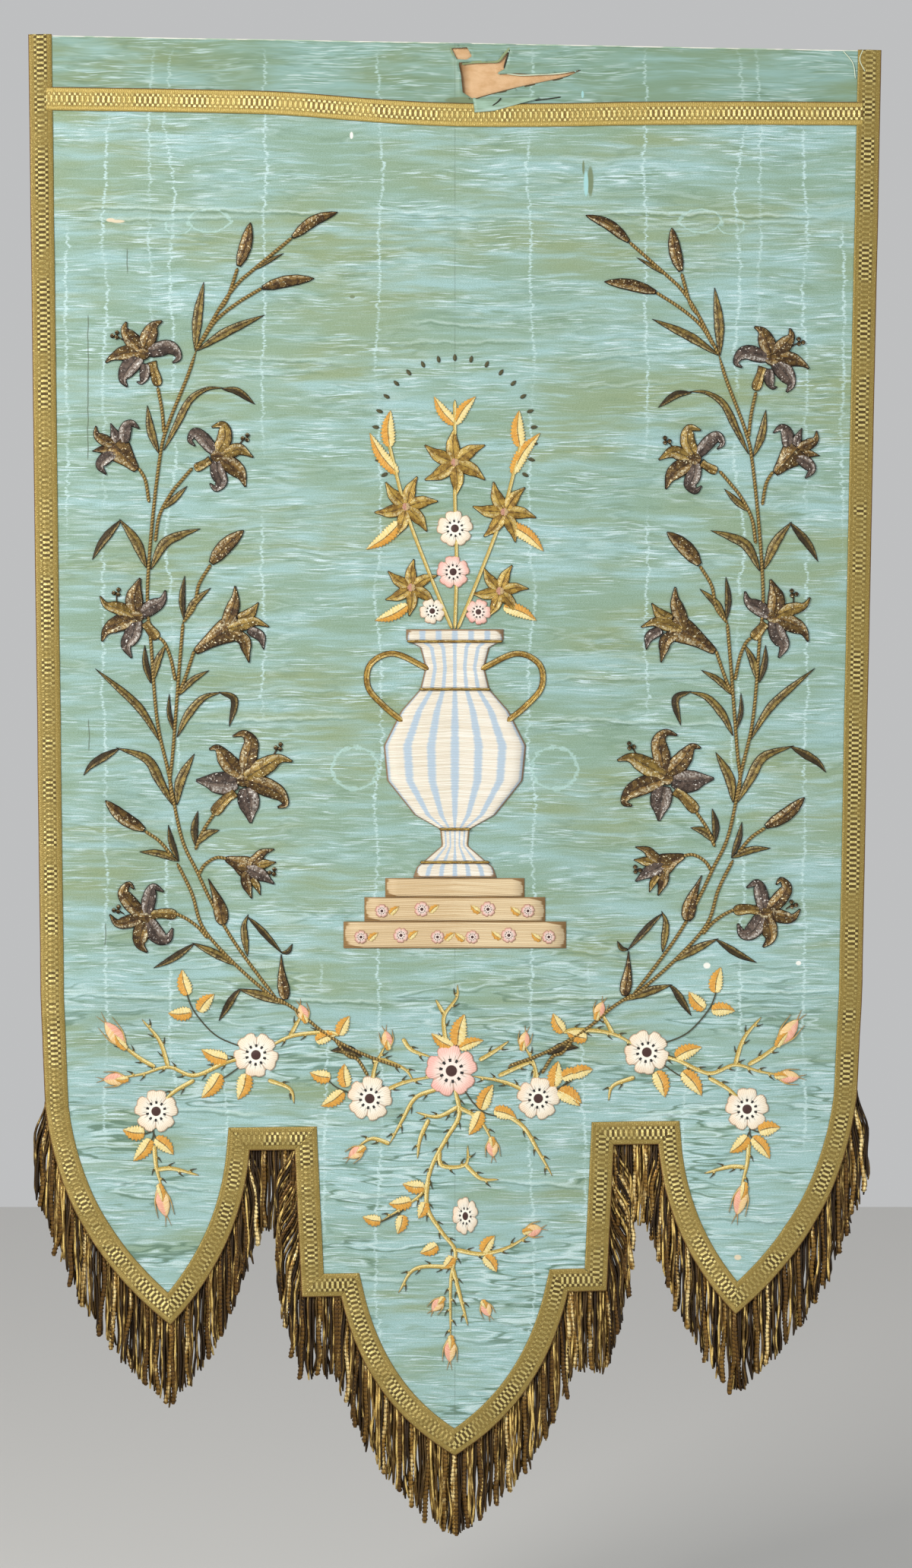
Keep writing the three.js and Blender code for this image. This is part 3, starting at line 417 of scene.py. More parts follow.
def watered(name, dim=0.0):
    """Watered silk: calm sage stretches, pale blue ones full of fine level streaks, upright water lines
    that are alike on both sides of the middle, pressed creases and fine wrinkles drawn as a painted
    highlight beside a painted shade, painted shade and a painted highlight round loose flaps, and wear.
    dim takes away the light threads of the weave, from 0 for none of them to 1 for all."""
    finish, start = new_finish(name)
    at = Shade(start)
    bend = start.noise(at.weft(110, 50, 21, at.x), 1, 2) - 0.5
    level = at.z + bend * 13

    def streaks(along, across, seed, detail=2.0, rough=0.55):
        """Noise drawn out along the weft, on lines that bend a little."""
        spot = start.point(at.x / along, level / across, float(seed))
        return start.noise(spot, 1, detail, rough)

    low = (at.z * -1).step(900, 1260)
    broad = streaks(210, 62, 2, 2)
    bands = streaks(120, 15, 3, 3, 0.6)
    water = (broad * 0.8 + bands * 0.8 + low * 0.14).step(0.67, 1.03)
    olive = streaks(260, 90, 4, 2).step(0.40, 0.66)
    base = water.over(olive.tint("90AC9A", "94A684"), "A4C6C8")
    fine = streaks(34, 1.7, 5, 2, 0.5)
    crowd = (streaks(95, 24, 6, 2) * 0.8 + broad * 0.35 + low * 0.05).step(0.48, 0.72)
    bright = fine.step(0.55, 0.62) * crowd
    dull = fine.step(0.44, 0.35) * crowd
    base = (bright * 0.95).over(base, "D6EAF2")
    base = (dull * 0.75).over(base, "77937A")
    wide = streaks(75, 5.5, 7, 2, 0.6)
    base = ((wide.step(0.56, 0.70) * (1 - low * 0.4)) * 0.45).over(base, "B8D9E2")
    base = (wide.step(0.42, 0.30) * 0.45).over(base, "849C7E")
    # Fine wrinkles: a painted highlight line beside a painted shade line, in patches that grow towards the
    # foot.
    ridge = streaks(95, 13, 8, 2, 0.5)
    wear_and_painted_wrinkles = streaks(160, 60, 9, 1).step(0.46, 0.56) * (low * 0.75 + 0.25)
    base = ((ridge - 0.57).math("ABSOLUTE").step(0.034, 0.008) * wear_and_painted_wrinkles * 0.75).over(base, "D0E6EA")
    base = ((ridge - 0.5).math("ABSOLUTE").step(0.032, 0.008) * wear_and_painted_wrinkles * 0.8).over(base, "5F7E6A")
    lines = joined("MAXIMUM", (water_line(at, *row) for row in water_lines))
    base = (lines * 0.85).over(base, "CCE6EA")
    rims = joined("MAXIMUM", (drop_rim(at, *row) for row in drop_rims))
    base = (rims * 0.6).over(base, "BCDCDA")
    # Creases: a painted highlight along the upper side of each and a painted shade along the lower side.
    wobble = (start.noise(at.weft(46, 40, 31, at.x), 1, 3, 0.65) - 0.5) * 15
    fold = joined("ADD", (crease_mark(at, wobble, *row) for row in shown_creases))
    base = (fold.math("MAXIMUM", 0.0) * 0.55).over(base, "D3E8E6")
    base = ((fold * -1).math("MAXIMUM", 0.0) * 0.6).over(base, "5E7C68")
    weave = start.noise(at.weft(1.5, 0.7, 11, at.x), 1, 2, 0.6)
    multiply = {"data_type": "RGBA", "blend_type": "MULTIPLY"}
    shaded = start.add("Mix", multiply, {0: 1.0, 6: base, 7: colour("D2D8CC")}, 2)
    base = (weave.step(0.25, 0.75) * (1 - dim) + dim).mixed(base, shaded)
    slits = at.x.math("ABSOLUTE").step(0.9, 0.3) * at.grain(300, 60, 40, 1).step(0.35, 0.55) * 0.4
    for row in worn_slits:
        slits = slits.math("MAXIMUM", worn_slit(at, *row))
    base = (slits * 0.7).over(base, "4E5B47")
    # Painted shade and a painted highlight round loose flaps, stains, pale patches, white flecks and stray
    # threads.
    for tint, marks in painted_light_and_stains:
        base = (joined("MAXIMUM", (at.patch(*mark) for mark in marks)) * 0.9).over(base, tint)
    height = fine * 0.45 + weave * 0.08
    bump = height.bump(0.8, 0.0012)
    close_finish(start, {
        "Base Color": base, "Roughness": 0.48, "Specular IOR Level": 0.4,
        "Sheen Weight": 0.2, "Sheen Roughness": 0.4, "Normal": bump})
    return finish


silk = watered("watered_silk")


cross_tilt, field_top = 7.0, -76


def flat_top(x):
    """The height, on the flat cut, of the middle of the braid that crosses under the heading."""
    return np.interp(x, cross_line[:, 0], cross_line[:, 1]) + x / half_top * cross_tilt


def half_width(z):
    """Half of the field's width at a height: straight to the fringe, then along the lobe's bow."""
    straight = np.interp(-z, [0, -waist[1], -fringe_start[1]], [half_top, waist[0], fringe_start[0]])
    return (straight if z > fringe_start[1] else at_height(lobe_outer_edge, z)) - edge_inset


lobe_columns, gap_columns, shoulder_columns, middle_columns = 26, 6, 6, 30
notch_row, foot_row = notch_height + edge_inset, panel_foot + edge_inset
# The cloth draws back from the braid's outer edge over a twelfth of the panel and 12 mm of the lobe
inset_parts, inset_drop = 12, 12
split = [-notch_outer, -notch_inner, -panel_inner, panel_inner, notch_inner, notch_outer]
counts = [lobe_columns, gap_columns, shoulder_columns, middle_columns]
counts += counts[2::-1]
upper = block(lambda z: [-half_width(z), *split, half_width(z)],
              spaced(field_top, notch_row, row_pitch), counts)
top = flat_top(upper[0])
upper = (upper[0], top + (upper[1] - field_top) / (notch_row - field_top) * (notch_row - top))


def panel_row(z):
    """Where the centre panel's columns are parted at a height: its sides and its point's sides."""
    down = (notch_row - z) / (notch_row - foot_row)
    half = notch_inner - (notch_inner - panel_outer) * down - edge_inset * min(1, down * inset_parts)
    return [-half, -panel_inner, panel_inner, half]


def lobe_row(z):
    """The right lobe's inner and outer edge at a height."""
    inset = edge_inset * min(1, (notch_row - z) / inset_drop)
    return [at_height(lobe_inner_edge, z) + inset, half_width(z)]


panel = block(panel_row, spaced(notch_row, foot_row, row_pitch), counts[2:5])
point = block(lambda z: [-at_height(tip_edge, z), at_height(tip_edge, z)],
              spaced(foot_row, tip_height + tip_gap, row_pitch), [middle_columns])
right_lobe = block(lobe_row, spaced(notch_row, lobe_tip[1] + tip_gap, row_pitch), [lobe_columns])
left_lobe = (-right_lobe[0][:, ::-1], right_lobe[1])
points, faces, count = [], [], 0
for across, heights in (upper, panel, point, right_lobe, left_lobe):
    x, z = hang(across, heights)
    points.append(on_cloth(x, z, 0).reshape(-1, 3))
    faces.append(grid_faces(*across.shape, count))
    count += across.size
mesh = bpy.data.meshes.new("silk_field")
join_meshes(mesh, np.concatenate(points), faces)
tidy_mesh(mesh)
silk_field = place("banner_silk", mesh, ["silk_field"], [silk])
thick = silk_field.modifiers.new("interlining", "SOLIDIFY")
thick.thickness, thick.offset = cloth_thickness / 1000, 0

# Heading: a strip of the same silk folded over the top edge, torn open beside the middle, so the
# canvas that stiffens it shows. A loose corner of the torn silk hangs over the braid below.
heading_leaf, heading_pitch, heading_start, heading_rows = 0.9, 3.0, -1.2, 27
front_depth, front_overlap, back_depth, back_overlap = 1.0, 0.8, -1.75, 0.3
# The rim of the tear: how wide it rolls up, how high, and the waves along it
rim_width, rim_rise, rim_wave, rim_wave_length = 4.5, 1.6, 0.9, 5
upper_hole = np.array([(-4, -7), (14, -6), (20, -16), (13, -21), (2, -20)], float)
main_hole = np.array([
    (4, -24), (30, -23), (52, -21), (56, -14), (64, -7), (60, -22), (57, -31), (46, -37), (70, -36),
    (92, -37), (115, -36), (132, -34), (147, -31.5), (130, -40), (112, -44), (78, -51),
    (50, -58.5), (22, -66), (9, -58), (7, -38)], float)


def inside(x, z, outline):
    """True where a point lies in an outline, by counting the edges to one side of it."""
    crossed = np.zeros(np.shape(x), bool)
    for (ax, az), (bx, bz) in zip(outline, np.roll(outline, -1, 0)):
        spans = (az > z) != (bz > z)
        crossed ^= spans & (x < (bx - ax) * (z - az) / (bz - az + 1e-12) + ax)
    return crossed


def nearest_edge(x, z, outline):
    """The point of an outline nearest to each given point, and its distance."""
    best, where = np.full(x.shape, 1e9), np.zeros((*x.shape, 2))
    for start, end in zip(outline, np.roll(outline, -1, 0)):
        gap, along = beside(x, z, start, end)
        foot = start + along[:, None] * (end - start)
        where[gap < best] = foot[gap < best]
        best = np.minimum(best, gap)
    return where, best


def leaf_height(x, share, overlap):
    """The height at a share of a leaf, from the folded edge to a little short of the braid's middle."""
    return heading_start + share * (flat_top(x) + overlap - heading_start)


def full_width(pitch):
    return spaced(-half_top + edge_inset, half_top - edge_inset, pitch)


across, down = np.meshgrid(full_width(heading_pitch), np.linspace(0, 1, heading_rows))
x, z = hang(across, leaf_height(across, down, front_overlap))
x, z = x.ravel(), z.ravel()
curl = np.zeros(x.size)
faces = grid_faces(*across.shape)
cut = np.zeros(len(faces), bool)
for outline in (upper_hole, main_hole):
    cut |= inside(x[faces].mean(1), z[faces].mean(1), outline)
faces = faces[~cut]
for outline in (upper_hole, main_hole):
    where, gap = nearest_edge(x, z, outline)
    near = gap < heading_pitch * 0.75
    kept = np.isin(np.arange(x.size), faces) & near
    x[kept], z[kept] = where[kept, 0], where[kept, 1]
    curl += np.exp(-((gap / rim_width) ** 2)) * (rim_rise + rim_wave * np.sin(x / rim_wave_length))
leaf_front = on_cloth(x, z, front_depth + curl)
wide, tall = np.meshgrid(full_width(12), np.linspace(0, 1, 9))
leaf_back = on_cloth(*hang(wide, leaf_height(wide, tall, back_overlap)), back_depth)
back_faces = grid_faces(*wide.shape)[:, ::-1]
used = np.unique(faces)
faces = np.searchsorted(used, faces)
mesh = bpy.data.meshes.new("heading_silk")
points = np.concatenate([leaf_front[used], leaf_back.reshape(-1, 3)])
join_meshes(mesh, points, [faces, back_faces + len(used)])
heading_finish = watered("heading_watered_silk", 1.0)
heading = place("heading_silk_leaves", mesh, ["heading_silk"], [heading_finish])
thick = heading.modifiers.new("silk", "SOLIDIFY")
thick.thickness, thick.offset = heading_leaf / 1000, 0


def carried(rings, start=0):
    """Faces round a row of rings, each ring's points joined to the next one's, with both ends closed."""
    count, sides = rings.shape[:2]
    i, j = np.meshgrid(np.arange(count - 1), np.arange(sides), indexing="ij")
    here, beyond = start + i * sides + j, start + i * sides + (j + 1) % sides
    walls = np.stack([here, beyond, beyond + sides, here + sides], -1).reshape(-1, 4)
    last = start + (count - 1) * sides
    return [walls, start + np.arange(sides)[None, ::-1], last + np.arange(sides)[None]]


# The worn fold along the top: a flat roll, with half its depth and height, its level and its distance back
roll_sides, roll_half_depth, roll_half_height, roll_level, roll_back = 8, 1.9, 1.3, -1.4, 0.3
x = full_width(9)
turn = np.linspace(0, 2 * np.pi, roll_sides, endpoint=False)
roll_x, roll_z = hang(x, np.full(x.size, roll_level))
roll_y = -forward(roll_x, roll_z)[:, None] + roll_back + roll_half_depth * np.cos(turn)
roll_up = roll_z[:, None] + roll_half_height * np.sin(turn)
rings = np.stack([np.repeat(roll_x[:, None], roll_sides, 1), roll_y, roll_up], -1)
mesh = bpy.data.meshes.new("heading_fold")
join_meshes(mesh, rings.reshape(-1, 3), carried(rings))
tidy_mesh(mesh)
fold_finish, start = new_finish("worn_fold")
wear_and_painted_wrinkles = start.noise(Shade(start).weft(26, 4, 5, 0), 1, 2, 0.6).step(0.4, 0.6)
close_finish(start, {"Base Color": wear_and_painted_wrinkles.tint("A9BFA6", "E4E2D6"), "Roughness": 0.7})
heading_fold = place("heading_fold", mesh, ["heading_silk"], [fold_finish])

canvas_start, canvas_overlap, canvas_margin, canvas_thickness = -3.2, 2, 3, 0.8
thread_turn = 7.2
canvas_finish, start = new_finish("canvas")
at = Shade(start)
threads = ((at.x * thread_turn).math("SINE") * (at.z * thread_turn).math("SINE")) * 0.5 + 0.5
grime = start.noise(at.weft(16, 9, 3, at.x), 1, 3, 0.6).step(0.35, 0.7)
tone = grime.tint("EFC79A", "DFB282")
# Painted shadow on the canvas at the left edge of the tear, where the silk stands over it.
tear_edge_shadow = at.x.step(20, 5) * at.z.step(-20, -30)
tone = (tear_edge_shadow * 0.75).over(tone, "6E4C2C")
tone = (threads * 0.15).over(tone, "9C7448")
bump = (threads + grime).bump(0.7, 0.0006)
close_finish(start, {"Base Color": tone, "Roughness": 0.9, "Specular IOR Level": 0.2, "Normal": bump})
wide = spaced(-half_top + canvas_margin, half_top - canvas_margin, 7)
wide, tall = np.meshgrid(wide, np.linspace(canvas_start, 0, 14))
share = (tall - canvas_start) / -canvas_start
tall = canvas_start + share * (flat_top(wide) + canvas_overlap - canvas_start)
x, z = hang(wide, tall)
points = on_cloth(x, z, -0.5 + 0.35 * soft_noise(x / 14, z / 9, 21))
mesh = bpy.data.meshes.new("heading_canvas")
join_meshes(mesh, points.reshape(-1, 3), [grid_faces(*wide.shape)])
canvas = place("canvas_stiffening", mesh, ["heading_canvas"], [canvas_finish])
thick = canvas.modifiers.new("canvas", "SOLIDIFY")
thick.thickness, thick.offset = canvas_thickness / 1000, 0

# Gilt braid: a woven galloon 27 mm wide, with ribbed margins, a row of bright bars down its middle
# and a row of small knuckles on each side of them. It is sewn flat over the cloth's edge and mitred
# at each corner, and a second length lies across the join of heading and field.
braid_width, bar_pitch, braid_back = 27.0, 6.0, 1.75
bar_from, bar_to, bar_half = 9.6, 17.6, 4.2
knuckle_left, knuckle_right, knuckle_half = 7.9, 19.4, 1.55
braid_columns = np.array([
    0, 0.5, 3, 5.4, 6.4, 7.9, 9.4, 10.3, 13.6, 16.9, 17.8, 19.4, 21, 22.2, 24.5, 26.5, 27])
wear_wave, leg_step, spare_steps = 37.0, 1.5, 30


def along_line(points, step):
    """The same line with points a given step apart."""
    gone = np.concatenate([[0], np.cumsum(np.hypot(*np.diff(points, axis=0).T))])
    s = np.linspace(0, gone[-1], max(2, int(gone[-1] / step) + 1))
    return np.stack([np.interp(s, gone, points[:, 0]), np.interp(s, gone, points[:, 1])], -1), s


def directions(points):
    """Unit steps along a line at each of its points."""
    ahead = np.gradient(points, axis=0)
    return ahead / np.linalg.norm(ahead, axis=1, keepdims=True)


def braid_leg(line, mitre_start, mitre_end, travelled):
    """Rings across one straight or bowed length: points of the woven surface and two of its back.
    Each end is cut where the offset lines meet the mitre, the line that halves the corner."""
    line, _ = along_line(line, leg_step)
    ahead = directions(line)
    reach = np.arange(1, spare_steps + 1)[:, None] * leg_step
    line = np.concatenate([line[0] - ahead[0] * reach[::-1], line, line[-1] + ahead[-1] * reach])
    ahead = directions(line)
    inward = np.stack([ahead[:, 1], -ahead[:, 0]], -1)
    s = (np.arange(len(line)) - spare_steps) * leg_step
    flat = line[:, None] + inward[:, None] * braid_columns[:, None]
    middle, columns = len(line) // 2, range(len(braid_columns))
    low, high = np.full(len(columns), s[spare_steps]), np.full(len(columns), s[-spare_steps - 1])
    first_half, second_half = slice(None, middle), slice(middle, None)
    for mitre, ends, nearer in ((mitre_start, low, first_half), (mitre_end, high, second_half)):
        if mitre is None:
            continue
        corner, across_mitre = mitre
        side = (flat[nearer] - corner) @ across_mitre
        side = side * np.sign(side[-1 if ends is low else 0])
        for k in columns:
            beyond = np.nonzero(side[:, k] < 0)[0]
            if ends is low:
                cut = beyond[-1] if len(beyond) else 0
            else:
                cut = (beyond[0] if len(beyond) else len(side) - 1) - 1
            share = side[cut, k] / (side[cut, k] - side[cut + 1, k])
            ends[k] = s[nearer][cut] + leg_step * share
    used = s[(s >= low.min() - leg_step) & (s <= high.max() + leg_step)]
    s_used = np.clip(used[:, None], low, high)
    laid = [np.stack([np.interp(s_used[:, k], s, flat[:, k, axis]) for k in columns], 1) for axis in (0, 1)]
    return np.stack(laid, -1), s_used + travelled


def braid_height(across, along):
    """The woven surface above the back: margins 1 mm thick, bars and knuckles as rounded bumps."""
    wear = 0.6 + 0.4 * soft_noise(along / wear_wave, across / 40, 31)
    beat = np.cos(2 * np.pi * along / bar_pitch)
    bar = np.clip(1 - np.abs(across - (bar_from + bar_to) / 2) / bar_half, 0, 1) ** 0.35
    bar = bar * np.clip(0.5 + 0.9 * beat, 0, 1)
    knuckle = sum(np.clip(1 - ((across - middle) / (knuckle_half + 0.5)) ** 2, 0, 1)
                  for middle in (knuckle_left, knuckle_right))
    knuckle = knuckle * np.clip(0.5 - 0.9 * beat, 0, 1)
    edge = np.clip(np.minimum(across, braid_width - across) / 0.6, 0, 1)
    return 0.25 + 0.75 * edge + (0.85 * bar + 0.8 * knuckle) * np.clip(wear, 0.2, 1)


def braid_rings(laid, v, lift=0.0):
    """Closes a laid length: its woven surface in front and two points of its flat back behind."""
    x, z = laid[..., 0], laid[..., 1]
    across = np.broadcast_to(braid_columns, x.shape)
    sway = 0.25 * soft_noise(v / 23, across / 30, 33)
    front = on_cloth(x, z, braid_back + lift + braid_height(across, v) + sway)
    back = on_cloth(x[:, [-1, 0]], z[:, [-1, 0]], braid_back + lift)
    uv = np.stack([across / braid_width, v / braid_width], -1)
    return np.concatenate([front, back], 1), np.concatenate([uv, uv[:, [-1, 0]]], 1)


def write_uv(mesh, uv, name="UVMap"):
    """Gives each corner of each face the u and v of its point."""
    corners = np.zeros(len(mesh.loops), np.int64)
    mesh.loops.foreach_get("vertex_index", corners)
    mesh.uv_layers.new(name=name).data.foreach_set("uv", uv[corners].ravel())


def gather(name, parts, nodes, finishes, merge=True):
    """Makes one piece of many closed forms: rows of rings, their marks, and the number of their finish.
    The first two marks are the piece's u and v, and a further two go into a second map."""
    points, uvs, faces, finish, count = [], [], [], [], 0
    for rings, uv, number in parts:
        points.append(rings.reshape(-1, 3))
        uvs.append(uv.reshape(-1, uv.shape[-1]))
        made = carried(rings, count)
        faces += made
        finish += [np.full(len(f), number) for f in made]
        count += rings.shape[0] * rings.shape[1]
    mesh = bpy.data.meshes.new(name)
    join_meshes(mesh, np.concatenate(points), faces)
    mesh.polygons.foreach_set("material_index", np.concatenate(finish).astype(np.int32))
    uvs = np.concatenate(uvs)
    write_uv(mesh, uvs[:, :2])
    if uvs.shape[1] == 4:
        write_uv(mesh, uvs[:, 2:], "form")
    if merge:
        tidy_mesh(mesh)
    return place(name, mesh, nodes, finishes)


def corner_mitre(corner, before, after):
    """The line that halves a corner, as the corner itself and the direction across that line."""
    inward = sum(np.array([d[1], -d[0]]) for d in (before, after))
    inward = inward / np.linalg.norm(inward)
    return np.array(corner), np.array([inward[1], -inward[0]])


def hung(points):
    """Points of the flat cut as they hang."""
    points = np.asarray(points, float)
    return np.stack(hang(points[:, 0], points[:, 1]), -1)


def straight(*points):
    """Straight stretches from point to point, with a point every 6 mm."""
    return along_line(np.array(points, float), 6)[0]


right_legs = [
    np.concatenate([straight((half_top, 0), waist, fringe_start)[:-1], lobe_outer_edge]),
    lobe_inner_edge,
    straight((notch_outer, notch_height), (notch_inner, notch_height)),
    straight((notch_inner, notch_height), (panel_outer, panel_foot)),
    straight((panel_outer, panel_foot), (panel_inner, panel_foot)),
    tip_edge,
]
left_legs = [leg[::-1] * (-1, 1) for leg in right_legs[::-1]]
legs = [hung(leg) for leg in right_legs + left_legs]
mitres = [None]
for before, after in zip(legs, legs[1:]):
    mitres.append(corner_mitre(after[0], directions(before)[-1], directions(after)[0]))
mitres.append(None)


def gilt(name, margin, bright, gap, contrast):
    """Woven gilt with painted glints on its margins: v runs along the braid and u across it, both in its
    own width. The weave's contrast is its least, and what is added where it isn't worn."""
    finish, start = new_finish(name)
    at = Shade(start)
    uv = start.add("UVMap", {}, {})
    across = uv.part(0) * braid_width
    along = uv.part(1) * braid_width
    beat = (along * (2 * np.pi / bar_pitch)).math("COSINE")
    wear_and_painted_wrinkles = start.noise(start.point(across / 60, along / wear_wave, 4.0), 1, 2)
    wear_and_painted_wrinkles = wear_and_painted_wrinkles.step(0.40, 0.58)
    middle = (across - (bar_from + bar_to) / 2).math("ABSOLUTE")
    rows = (middle - 5.75).math("ABSOLUTE")
    bars = middle.step(4.5, 3.6) * beat.step(-0.25, 0.45)
    knuckles = rows.step(1.9, 1.1) * beat.step(0.25, -0.45)
    zone = middle.step(8.0, 7.2)
    speck = start.noise(start.point(across / 1.7, along / 1.3, 9.0), 1, 2, 0.7)
    ribs = (along * 4.2 + (across * 1.3).math("SINE") * 1.2).math("SINE") * 0.5 + 0.5
    tone = (ribs * 0.55).tint(margin[0], margin[1])
    # Painted glints: bright specks over the margins.
    tone = speck.step(0.56, 0.74).over(tone, margin[2])
    pattern = (bars + knuckles).math("MINIMUM", 1.0)
    woven = pattern.mixed(colour(gap), speck.step(0.3, 0.7).tint(*bright))
    tone = (zone * (wear_and_painted_wrinkles * contrast[1] + contrast[0])).mixed(tone, woven)
    tone = (across.step(1.5, 0.5) * 0.8).over(tone, "5E3116")
    height = ribs * 0.25 + speck * 0.5 + pattern * 0.4
    bump = height.bump(0.9, 0.0008)
    rough = 0.42 - pattern * 0.1
    close_finish(start, {"Base Color": tone, "Metallic": 0.45, "Roughness": rough, "Normal": bump})
    return finish


edge_gilt = gilt(
    "gilt_braid", ("877236", "A48D48", "DCCB84"), ("EFE39C", "C0A654"), "4E3B14", (0.18, 0.75))
parts, travelled = [], 0.0
for leg, before, after in zip(legs, mitres, mitres[1:]):
    laid, v = braid_leg(leg, before, after, travelled)
    rings, uv = braid_rings(laid, v)
    parts.append((rings, uv, 0))
    travelled += along_line(leg, leg_step)[1][-1]
edge_braid = gather("gilt_edge_braid", parts, ["edge_braid"], [edge_gilt])

cross_gilt = gilt(
    "gilt_cross_braid", ("9A8440", "B89E54", "E2D088"), ("F2E8A4", "CDB866"), "6A5220", (0.3, 0.6))
cross_inset, cross_lift, smoothing = 21, 0.4, (-36, -18, 0, 18, 36)
fine_x = spaced(cross_line[0, 0] + cross_inset, cross_line[-1, 0] - cross_inset, 6)
level = sum(np.interp(fine_x + off, *cross_line.T) for off in smoothing) / len(smoothing)
laid, v = braid_leg(np.stack([fine_x, level + braid_width / 2], -1), None, None, 0)
rings, uv = braid_rings(laid, v, cross_lift)
gather("gilt_cross_braid", [(rings, uv, 0)], ["cross_braid"], [cross_gilt])

# Bullion fringe: gold purl strands in two layers, hung close together from a woven strip that is sewn
# behind the hem. In front, the last strand of each group of four to seven is thicker and twisted. On
# steep hems the strands pile up, each pushed outwards by those that are rooted below it.
strand_length, strand_radius, level_step, steep_step, pile_step = 92.0, 1.7, 3.3, 6.0, 2.3
strand_tuck, twist_pitch, twist_radius, twist_groove = 9.0, 9.0, 2.9, 0.7
strand_layers, layer_gap, layer_shorter, strand_front = 2, 2.2, 3, 3.3
strand_stations = np.concatenate([np.linspace(0, 0.36, 7), np.linspace(0.44, 1, 9)])
twist_stations, hem_step = np.linspace(0, 1, 50), 0.5
# Slow waves of a strand: how many half waves, and how far they stray
strand_waves = ((1, 1.6), (2, 1.3), (3, 0.9), (4.3, 0.6))
chance = np.random.default_rng(11)


def strand_roots(edge, offset):
    """Points along a hem: a set distance apart across, or down where the hem is steep."""
    line, _ = along_line(edge, hem_step)
    slope = np.abs(directions(line)[:, 0])
    gone = np.cumsum(hem_step / np.minimum(level_step / np.maximum(slope, 1e-3), steep_step))
    return np.stack([np.interp(np.arange(offset, gone[-1], 1.0), gone, line[:, k]) for k in (0, 1)], -1)


def piled(roots, outward, lean):
    """Where each strand hangs: straight down, or pushed outwards by those rooted below it."""
    reach = roots[:, 0] * outward
    order = np.argsort(roots[:, 1])
    hangs = reach.copy()
    for place_up, k in enumerate(order):
        below = order[:place_up]
        drop = roots[k, 1] - roots[below, 1]
        below = below[(drop < strand_length * 0.95) & (drop > 1.2 * np.abs(roots[k, 0] - roots[below, 0]))]
        steps = place_up - np.searchsorted(roots[order, 1], roots[below, 1])
        if len(below):
            hangs[k] = max(reach[k], (reach[below] + pile_step * lean * steps).max())
    return hangs * outward


def purl(path, radius, sides, groove=0.0):
    """Rings round a hanging path, and the length gone at each; a twisted one has two ridges round it."""
    turn = np.arange(sides) * 2 * np.pi / sides
    gone = np.concatenate([[0], np.cumsum(np.linalg.norm(np.diff(path, axis=0), axis=1))])
    thick = radius + groove * np.cos(2 * (turn[None] - 2 * np.pi * gone[:, None] / twist_pitch))
    thick = thick * np.interp(gone, [0, gone[-1] - 2, gone[-1]], [1, 1, 0.55])[:, None]
    round_it = np.stack([thick * np.cos(turn), thick * np.sin(turn), 0 * thick], -1)
    return path[:, None] + round_it, gone


def strand(root, hang_x, middle, drawn, layer, stagger, thick):
    """One strand: it swings out to where it hangs in its upper 45 %, is drawn towards the middle of its
    group, strays in slow waves, and lies back a little under the hem's braid."""
    length = strand_length - layer * layer_shorter + chance.normal(0, 2.2)
    t = twist_stations if thick else strand_stations
    down = t * (length + strand_tuck)
    ease = np.clip(t / 0.45, 0, 1)
    ease = ease * ease * (3 - 2 * ease)
    x = root[0] + (hang_x - root[0]) * ease + (middle - hang_x) * drawn * t**1.6
    for waves, amount in strand_waves:
        x = x + chance.normal(0, amount) * np.sin(np.pi * waves * t + chance.uniform(0, 3)) * t**0.7
    z = root[1] + strand_tuck - down + 0.04 * (hang_x - root[0]) ** 2 / strand_length * ease
    y = -forward(*root) + strand_front + layer * layer_gap + chance.normal(0, 0.7) * np.sin(5 * t)
    y = y + (0.9 if thick else 0) - stagger
    y = y - np.clip(down - 12, 0, 14) / 14 * (2.6 - layer * 0.8)
    path = np.stack([x, y, z], -1)
    if thick:
        rings, gone = purl(path, twist_radius, 8, twist_groove)
    else:
        rings, gone = purl(path, strand_radius * chance.uniform(0.85, 1.1), 5)
    tone = np.full(rings.shape[:2], chance.uniform(0, 1))
    return rings, np.stack([tone, np.broadcast_to(gone[:, None], tone.shape)], -1), int(thick)


def fringe_run(edge, outward, lean):
    """All strands of one run of hem, from the hem's points and the side they are pushed to."""
    made = []
    for layer in range(strand_layers):
        roots = strand_roots(edge, 0.3 + 0.5 * layer)
        hangs = piled(roots, outward, lean)
        group = 0
        while group < len(roots):
            size = int(chance.integers(4, 8))
            members = np.arange(group, min(group + size, len(roots)))
            middle = hangs[members].mean() + chance.normal(0, 1.5)
            drawn = chance.uniform(0.15, 0.5)
            for k in members:
                stagger = (1 - lean) * 1.6 * (k % 3)
                thick = layer == 0 and k == members[-1]
                made.append(strand(roots[k], hangs[k], middle, drawn, layer, stagger, thick))
            group += size
    return made


def bullion(name, dark, middle, light, twist, groove):
    """Wound gilt wire: fine rings round each strand, tarnished in places, with painted highlights where it
    is bent.
    """
    finish, start = new_finish(name)
    at = Shade(start)
    uv = start.add("UVMap", {}, {})
    tone_of = uv.part(0)
    along = uv.part(1)
    speck = start.noise(start.point(at.x / 3.2, along / 20, tone_of * 60), 1, 3, 0.6)
    old = start.noise(start.point(at.x / 18, at.z / 24, 2.0), 1, 2)
    tone = (speck * 0.35 + tone_of * 0.7 + old * 0.25).step(0.42, 1.15)
    base = tone.tint(dark, middle)
    # Painted highlights: bright runs along the strands, where the wire is bent.
    base = (speck * 0.8 + tone_of * 0.3).step(0.60, 0.76).over(base, light)
    rings = (along * twist).math("SINE") * 0.5 + 0.5
    base = (rings.step(0.5, 0.05) * groove).over(base, "23140A")
    bump = (rings * 0.6 + speck * 0.6).bump(0.5, 0.0004)
    close_finish(start, {"Base Color": base, "Metallic": 0.65, "Roughness": 0.36, "Normal": bump})
    return finish


strip_edges, strip_depths = (1.5, 12.5), (-1.8, -2.7)


